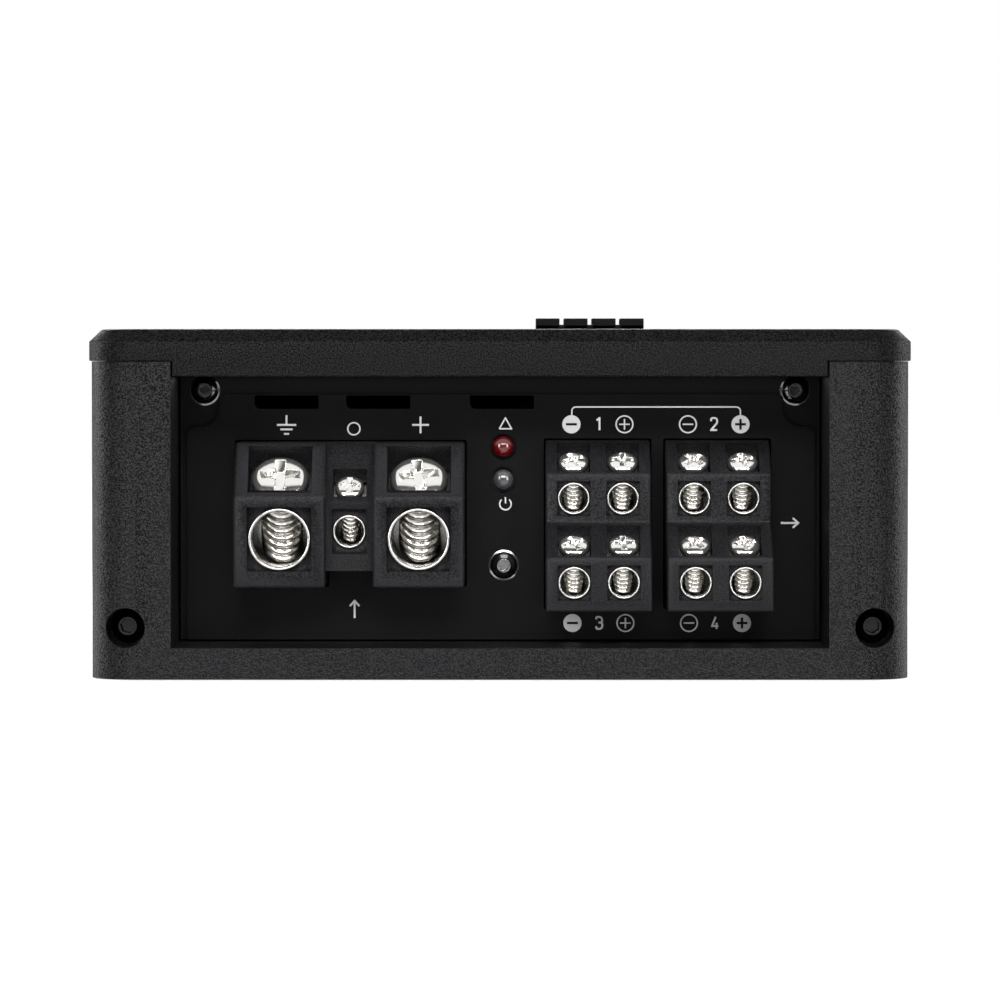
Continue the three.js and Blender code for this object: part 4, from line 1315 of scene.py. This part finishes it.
def ink_tree():
    """Geometry Nodes: flat round backed strokes of ink along drawn lines."""
    tree, sockets, given = geometry_tree("ink strokes", [
        ("Geometry", "Geometry", None), ("Half width", "Float", 0.15), ("Rise", "Float", 0.03),
        ("Material", "Material", None)])
    nodes, links = tree.nodes, tree.links
    curve = nodes.new("GeometryNodeMeshToCurve")
    links.new(given["Geometry"], curve.inputs["Mesh"])
    profile = nodes.new("GeometryNodeCurvePrimitiveCircle")
    profile.inputs["Resolution"].default_value = 8
    links.new(given["Half width"], profile.inputs["Radius"])
    sweep = nodes.new("GeometryNodeCurveToMesh")
    sweep.inputs["Fill Caps"].default_value = True
    links.new(curve.outputs["Curve"], sweep.inputs["Curve"])
    links.new(profile.outputs["Curve"], sweep.inputs["Profile Curve"])
    share = nodes.new("ShaderNodeMath")
    share.operation = "DIVIDE"
    links.new(given["Rise"], share.inputs[0])
    links.new(given["Half width"], share.inputs[1])
    scale = nodes.new("ShaderNodeCombineXYZ")
    scale.inputs["X"].default_value = 1.0
    scale.inputs["Z"].default_value = 1.0
    links.new(share.outputs[0], scale.inputs["Y"])
    flat = nodes.new("GeometryNodeTransform")
    links.new(sweep.outputs["Mesh"], flat.inputs["Geometry"])
    links.new(scale.outputs[0], flat.inputs["Scale"])
    close_tree(tree, flat.outputs["Geometry"], given["Material"])
    return tree, sockets


def inked(tree_and_sockets, lines, half):
    """Strokes of one weight as a mesh, drawn in X and Z at Y zero."""
    tree, sockets = tree_and_sockets
    vertices, edges = [], []
    for line in [part for line in lines for part in unbent(line, half * 0.8)]:
        first = len(vertices)
        closed = len(line) > 2 and (Vector(line[0]) - Vector(line[-1])).length < 1e-6
        points = line[:-1] if closed else line
        vertices += [(x, 0, z) for x, z in points]
        edges += [(first + k, first + k + 1) for k in range(len(points) - 1)]
        if closed:
            edges.append((first + len(points) - 1, first))
    mesh = bpy.data.meshes.new("strokes")
    mesh.from_pydata(vertices, edges, [])
    obj = new_object("strokes", mesh)
    modifier = obj.modifiers.new("ink", "NODES")
    modifier.node_group = tree
    modifier[sockets["Half width"]] = float(half)
    modifier[sockets["Rise"]] = sizes("legends").rise
    modifier[sockets["Material"]] = MATERIALS["ink"]
    return settle(obj)


def sign_disc(x, z, radius, sign):
    """A filled disc with its sign left open."""
    rise = sizes("legends").rise
    disc = prism(circle(radius, 40, (x, z)), "Y", (-rise, rise))
    arm, half = radius * 0.6, radius * 0.13
    bars = [block((x - arm, x + arm), (-1, 1), (z - half, z + half))]
    if sign == "+":
        bars.append(block((x - half, x + half), (-1, 1), (z - arm, z + arm)))
    return cut(disc, *bars)


def sign_ring(x, z, radius, sign):
    """The strokes of a ring with a sign in it."""
    ring = circle(radius - 0.11, 36, (x, z))
    arm = radius * 0.58
    lines = [ring + ring[:1], [(x - arm, z), (x + arm, z)]]
    if sign == "+":
        lines.append([(x, z - arm), (x, z + arm)])
    return lines


SIGN_RADIUS = 1.42
DISCS = [(11.14, 38.7, "-"), (37.52, 38.7, "+"), (11.31, 7.67, "-"), (37.79, 7.67, "+")]
RINGS = [(19.42, 38.7, "+"), (29.32, 38.7, "-"), (19.58, 7.67, "+"), (29.5, 7.67, "-")]
FRONT_NUMERALS = [(1, 15.3, 37.8), (2, 33.4, 37.8), (3, 15.5, 6.75), (4, 33.6, 6.75)]
REAR_NUMERALS = [(1, -42.1, 30.2), (2, -13.7, 30.2), (3, -42.1, 16.2), (4, -13.7, 16.2)]


def print_on(panel_turn, parts, name):
    """Sets strokes that are drawn at Y zero on a panel's face, as one piece."""
    legend = crisp(together(parts))
    legend.data.transform(Matrix.Translation((0, PANEL_Y[0] - 0.01, 0)))
    legend.data.transform(Matrix.Rotation(panel_turn, 4, "Z"))
    finished(legend, name, MATERIALS["ink"])


def make_front_legends():
    """The terminal end's channel numbers, polarity marks and plain signs."""
    half = sizes("legends").line / 2
    tree = ink_tree()
    bold = earth_sign(-33.3, 40.1) + cross_sign(-12.4, 38.6, 1.3)
    bold += arrow(-22.7, 9.8, 1.35) + arrow(45.2, 23.3, 1.35, 90)
    for number, x, foot in FRONT_NUMERALS:
        bold += numeral(number, x, foot, 1.87)
    ring = circle(0.95, 32, (-22.8, 38.0))
    thin = [ring + ring[:1], [(-0.1, 38.0), (1.8, 38.0), (0.85, 39.7), (-0.1, 38.0)]]
    thin += power_sign(0.85, 26.25, 0.9)
    thin.append(rounded([(37.5, 40.15), (37.5, 41.4), (11.2, 41.4), (11.2, 40.15)], 0.9, 6,
                        closed=False))
    for x, z, sign in RINGS:
        thin += sign_ring(x, z, SIGN_RADIUS, sign)
    parts = [inked(tree, bold, half), inked(tree, thin, 0.11)]
    parts += [sign_disc(x, z, SIGN_RADIUS, sign) for x, z, sign in DISCS]
    print_on(0, parts, "terminal_legends")


def make_rear_legends():
    """The input end's channel numbers, dial ticks, switch marks and plain signs."""
    half = sizes("legends").line / 2
    tree = ink_tree()
    bold = arrow(-28.0, 9.8, 1.2)
    for number, x, foot in REAR_NUMERALS:
        bold += numeral(number, x, foot, 1.6)
    thin = []
    for number, x in enumerate(KNOB_XS):
        if number % 2 == 0:
            thin.append([(x - 1.6, 36.7), (x + 1.6, 36.7), (x + 1.6, 38.0), (x - 1.6, 36.7)])
        else:
            thin.append([(x - 1.6, 36.7), (x - 0.5, 38.0), (x + 1.6, 38.0)])
        for step in range(11):
            angle = math.radians(225 - 27 * step)
            outer = 5.3 if step % 5 == 0 else 4.9
            thin.append([(x + r * math.cos(angle), KNOB_Z + r * math.sin(angle))
                         for r in (4.3, outer)])
    for x in SWITCH_XS:
        for offset in (-2.2, 0.0, 2.2):
            thin.append([(x + offset, SWITCH_Z - 3.0), (x + offset, SWITCH_Z - 3.9)])
        thin.append([(x - 5.5, 10.2), (x - 4.5, 11.4), (x - 2.9, 11.4)])
        thin.append([(x + 2.9, 11.4), (x + 4.5, 11.4), (x + 5.5, 10.2)])
    print_on(math.pi, [inked(tree, bold, half), inked(tree, thin, 0.1)], "input_legends")


# ---------------------------------------------------------------- input end
def rear_point(x, depth, z):
    return -x, -OUTER_PLANE - depth, z


def make_sockets():
    """Phono sockets: plated sleeves, coloured liners and the block behind them."""
    sleeves, liners = [], {"white plastic": [], "red plastic": []}
    for x, z in RCA_PLACES:
        place = facing(rear_point(x, 11.5, z), (0, 1, 0))
        outline = rounded([(3.45, -12.9), (4.15, -12.9), (4.15, 0), (3.45, 0)], [0, 0, 0.2, 0.2], 4)
        sleeves.append(crisp(tube(outline, 56, place)))
        groove = rounded([(4.1, -8.6), (4.6, -8.6), (4.6, -7.9), (4.1, -7.9)], 0.1, 3)
        sleeves.append(crisp(tube(groove, 56, place)))
        liner = rounded([(1.6, -14), (3.1, -14), (3.1, -1.0), (1.6, -1.0)], [0, 0, 0.25, 0.25], 4)
        look = "white plastic" if z > 24 else "red plastic"
        liners[look].append(crisp(tube(liner, 48, place)))
    sleeves.append(soften(block((14, 42), (75.2, 76.0), (11, 37)), 0.1))
    shell = together(sleeves)
    finished(shell, "phono_sleeves", MATERIALS["nickel"], ["rca_shell"])
    box = soften(block((13, 43), (64, 74.9), (9.9, 38.5)), 0.4, 2)
    finished(box, "phono_block", MATERIALS["moulding"], ["rca_block"])
    for look, parts in liners.items():
        name = "phono_liners_" + look.split()[0]
        finished(together(parts), name, MATERIALS[look])


def make_knobs():
    """Four trim knobs, fluted round the rim and slotted for a driver."""
    names = ["front_gain_knob", "front_crossover_knob", "rear_gain_knob", "rear_crossover_knob"]
    for name, x in zip(names, KNOB_XS):
        rim = []
        for k in range(72):
            angle = 2 * math.pi * k / 72
            radius = 3.12 + 0.08 * math.cos(angle * 18)
            rim.append((radius * math.cos(angle), radius * math.sin(angle)))
        rings = [[(u * s, v * s, z) for u, v in rim]
                 for s, z in ((1, -10), (1, -0.35), (0.96, -0.1), (0.9, 0.0))]
        knob = loft(rings)
        cut(knob, block((-0.45, 0.45), (-2.6, 2.6), (-1.0, 1)),
            block((-0.14, 0.14), (2.0, 4.0), (-0.3, 1)))
        crisp(knob, 30)
        knob.data.transform(facing(rear_point(x, 15.5, KNOB_Z), (0, 1, 0)))
        finished(knob, name + "_fluted", MATERIALS["moulding"], [name], name)


def make_switches():
    """Two slide switch levers, ribbed across the top."""
    for name, x in zip(("front_filter_switch", "rear_filter_switch"), SWITCH_XS):
        ribs = [(-1.5, 0)]
        for k in range(4):
            left = -1.35 + k * 0.72
            ribs += [(left, 0.0), (left + 0.12, 0.35), (left + 0.42, 0.35), (left + 0.54, 0.0)]
        ribs += [(1.5, 0), (1.5, -7.0), (-1.5, -7.0)]
        lever = prism([(u, v) for u, v in ribs], "Z", (SWITCH_Z - 1.7, SWITCH_Z + 1.7))
        lever.data.transform(Matrix.Translation((-x, -OUTER_PLANE - 17.85, 0)))
        soften(lever, 0.07, 2)
        foot = block((-x - 2.4, -x + 2.4), (74.6, 75.8), (SWITCH_Z - 2.6, SWITCH_Z + 2.6))
        lever = together([lever, soften(foot, 0.15)])
        finished(lever, name + "_lever", MATERIALS["moulding"], [name], name)


# ---------------------------------------------------------------- inside
CARRIED = {
    "main_board": "circuit", "control_board": "circuit", "transformer": "winding",
    "capacitor": "sleeve", "transistor_bar": "aluminium",
}


def dress_inside():
    """Gives the carried over pieces inside the case their finishes."""
    for node, look in CARRIED.items():
        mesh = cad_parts[node].data
        mesh.materials.clear()
        mesh.materials.append(MATERIALS[look])


# ---------------------------------------------------------------- operators
class AMPLIFIER_OT_stage(bpy.types.Operator):
    """Sets the floor, the soft lights, the background and the camera"""
    bl_idname = "amplifier.stage"
    bl_label = "Stage"
    bl_options = {"REGISTER", "UNDO"}

    def execute(self, context):
        make_world()
        make_floor()
        make_camera()
        make_lights()
        return {"FINISHED"}


class AMPLIFIER_OT_finishes(bpy.types.Operator):
    """Makes every finish from the chosen colours"""
    bl_idname = "amplifier.finishes"
    bl_label = "Finishes"
    bl_options = {"REGISTER", "UNDO"}

    def execute(self, context):
        make_materials()
        return {"FINISHED"}


class AMPLIFIER_OT_case(bpy.types.Operator):
    """Makes the cover, the end castings, the finned body and the badge"""
    bl_idname = "amplifier.case"
    bl_label = "Case"
    bl_options = {"REGISTER", "UNDO"}

    def execute(self, context):
        make_cover()
        make_end_frames()
        make_heatsink()
        make_badge()
        return {"FINISHED"}


class AMPLIFIER_OT_panels(bpy.types.Operator):
    """Makes the raised panels at both ends"""
    bl_idname = "amplifier.panels"
    bl_label = "End Panels"
    bl_options = {"REGISTER", "UNDO"}

    def execute(self, context):
        make_front_panel()
        make_rear_panel()
        return {"FINISHED"}


class AMPLIFIER_OT_terminals(bpy.types.Operator):
    """Makes the terminal mouldings and their plated clamps"""
    bl_idname = "amplifier.terminals"
    bl_label = "Terminals"
    bl_options = {"REGISTER", "UNDO"}

    def execute(self, context):
        make_terminal_blocks()
        make_clamps()
        return {"FINISHED"}


class AMPLIFIER_OT_clamp_screws(bpy.types.Operator):
    """Makes the threaded clamp screws"""
    bl_idname = "amplifier.clamp_screws"
    bl_label = "Clamp Screws"
    bl_options = {"REGISTER", "UNDO"}

    def execute(self, context):
        make_clamp_screws()
        return {"FINISHED"}


class AMPLIFIER_OT_fasteners(bpy.types.Operator):
    """Makes the button headed screws of the panels, castings and cover"""
    bl_idname = "amplifier.fasteners"
    bl_label = "Fasteners"
    bl_options = {"REGISTER", "UNDO"}

    def execute(self, context):
        make_fasteners()
        return {"FINISHED"}


class AMPLIFIER_OT_lamps(bpy.types.Operator):
    """Makes the two indicator lenses"""
    bl_idname = "amplifier.lamps"
    bl_label = "Indicators"
    bl_options = {"REGISTER", "UNDO"}

    def execute(self, context):
        make_lamps()
        return {"FINISHED"}


class AMPLIFIER_OT_legends(bpy.types.Operator):
    """Prints the plain legends on both panels"""
    bl_idname = "amplifier.legends"
    bl_label = "Legends"
    bl_options = {"REGISTER", "UNDO"}

    def execute(self, context):
        make_front_legends()
        make_rear_legends()
        return {"FINISHED"}


class AMPLIFIER_OT_inputs(bpy.types.Operator):
    """Makes the phono sockets, the knobs and the switches"""
    bl_idname = "amplifier.inputs"
    bl_label = "Inputs and Controls"
    bl_options = {"REGISTER", "UNDO"}

    def execute(self, context):
        make_sockets()
        make_knobs()
        make_switches()
        return {"FINISHED"}


class AMPLIFIER_OT_inside(bpy.types.Operator):
    """Finishes the board and the parts on it"""
    bl_idname = "amplifier.inside"
    bl_label = "Inside"
    bl_options = {"REGISTER", "UNDO"}

    def execute(self, context):
        dress_inside()
        return {"FINISHED"}


OPERATORS = (AMPLIFIER_OT_stage, AMPLIFIER_OT_finishes, AMPLIFIER_OT_case, AMPLIFIER_OT_panels,
             AMPLIFIER_OT_terminals, AMPLIFIER_OT_clamp_screws, AMPLIFIER_OT_fasteners,
             AMPLIFIER_OT_lamps, AMPLIFIER_OT_legends, AMPLIFIER_OT_inputs, AMPLIFIER_OT_inside)


class AMPLIFIER_PT_sidebar(bpy.types.Panel):
    """Lists the amplifier's settings and the steps that build it"""
    bl_label = "Compact Amplifier"
    bl_idname = "AMPLIFIER_PT_sidebar"
    bl_space_type = "VIEW_3D"
    bl_region_type = "UI"
    bl_category = "Amplifier"

    def draw(self, context):
        for name, group in SETTINGS.items():
            box = self.layout.box()
            box.label(text=name.replace("_", " ").capitalize())
            for title in group.__annotations__:
                box.prop(getattr(context.scene, name), title)
        for operator in OPERATORS:
            self.layout.operator(operator.bl_idname)


CLASSES = (*SETTINGS.values(), *OPERATORS, AMPLIFIER_PT_sidebar)


def register():
    for item in CLASSES:
        bpy.utils.register_class(item)
    for name, group in SETTINGS.items():
        setattr(bpy.types.Scene, name, bpy.props.PointerProperty(type=group))


def unregister():
    for name in SETTINGS:
        delattr(bpy.types.Scene, name)
    for item in reversed(CLASSES):
        bpy.utils.unregister_class(item)


def main():
    register()
    bpy.ops.amplifier.stage()
    bpy.ops.amplifier.finishes()
    bpy.ops.amplifier.case()
    bpy.ops.amplifier.panels()
    bpy.ops.amplifier.terminals()
    bpy.ops.amplifier.clamp_screws()
    bpy.ops.amplifier.fasteners()
    bpy.ops.amplifier.lamps()
    bpy.ops.amplifier.legends()
    bpy.ops.amplifier.inputs()
    bpy.ops.amplifier.inside()
    bpy.context.scene.view_settings.view_transform = "Standard"


if __name__ == "__main__":
    main()
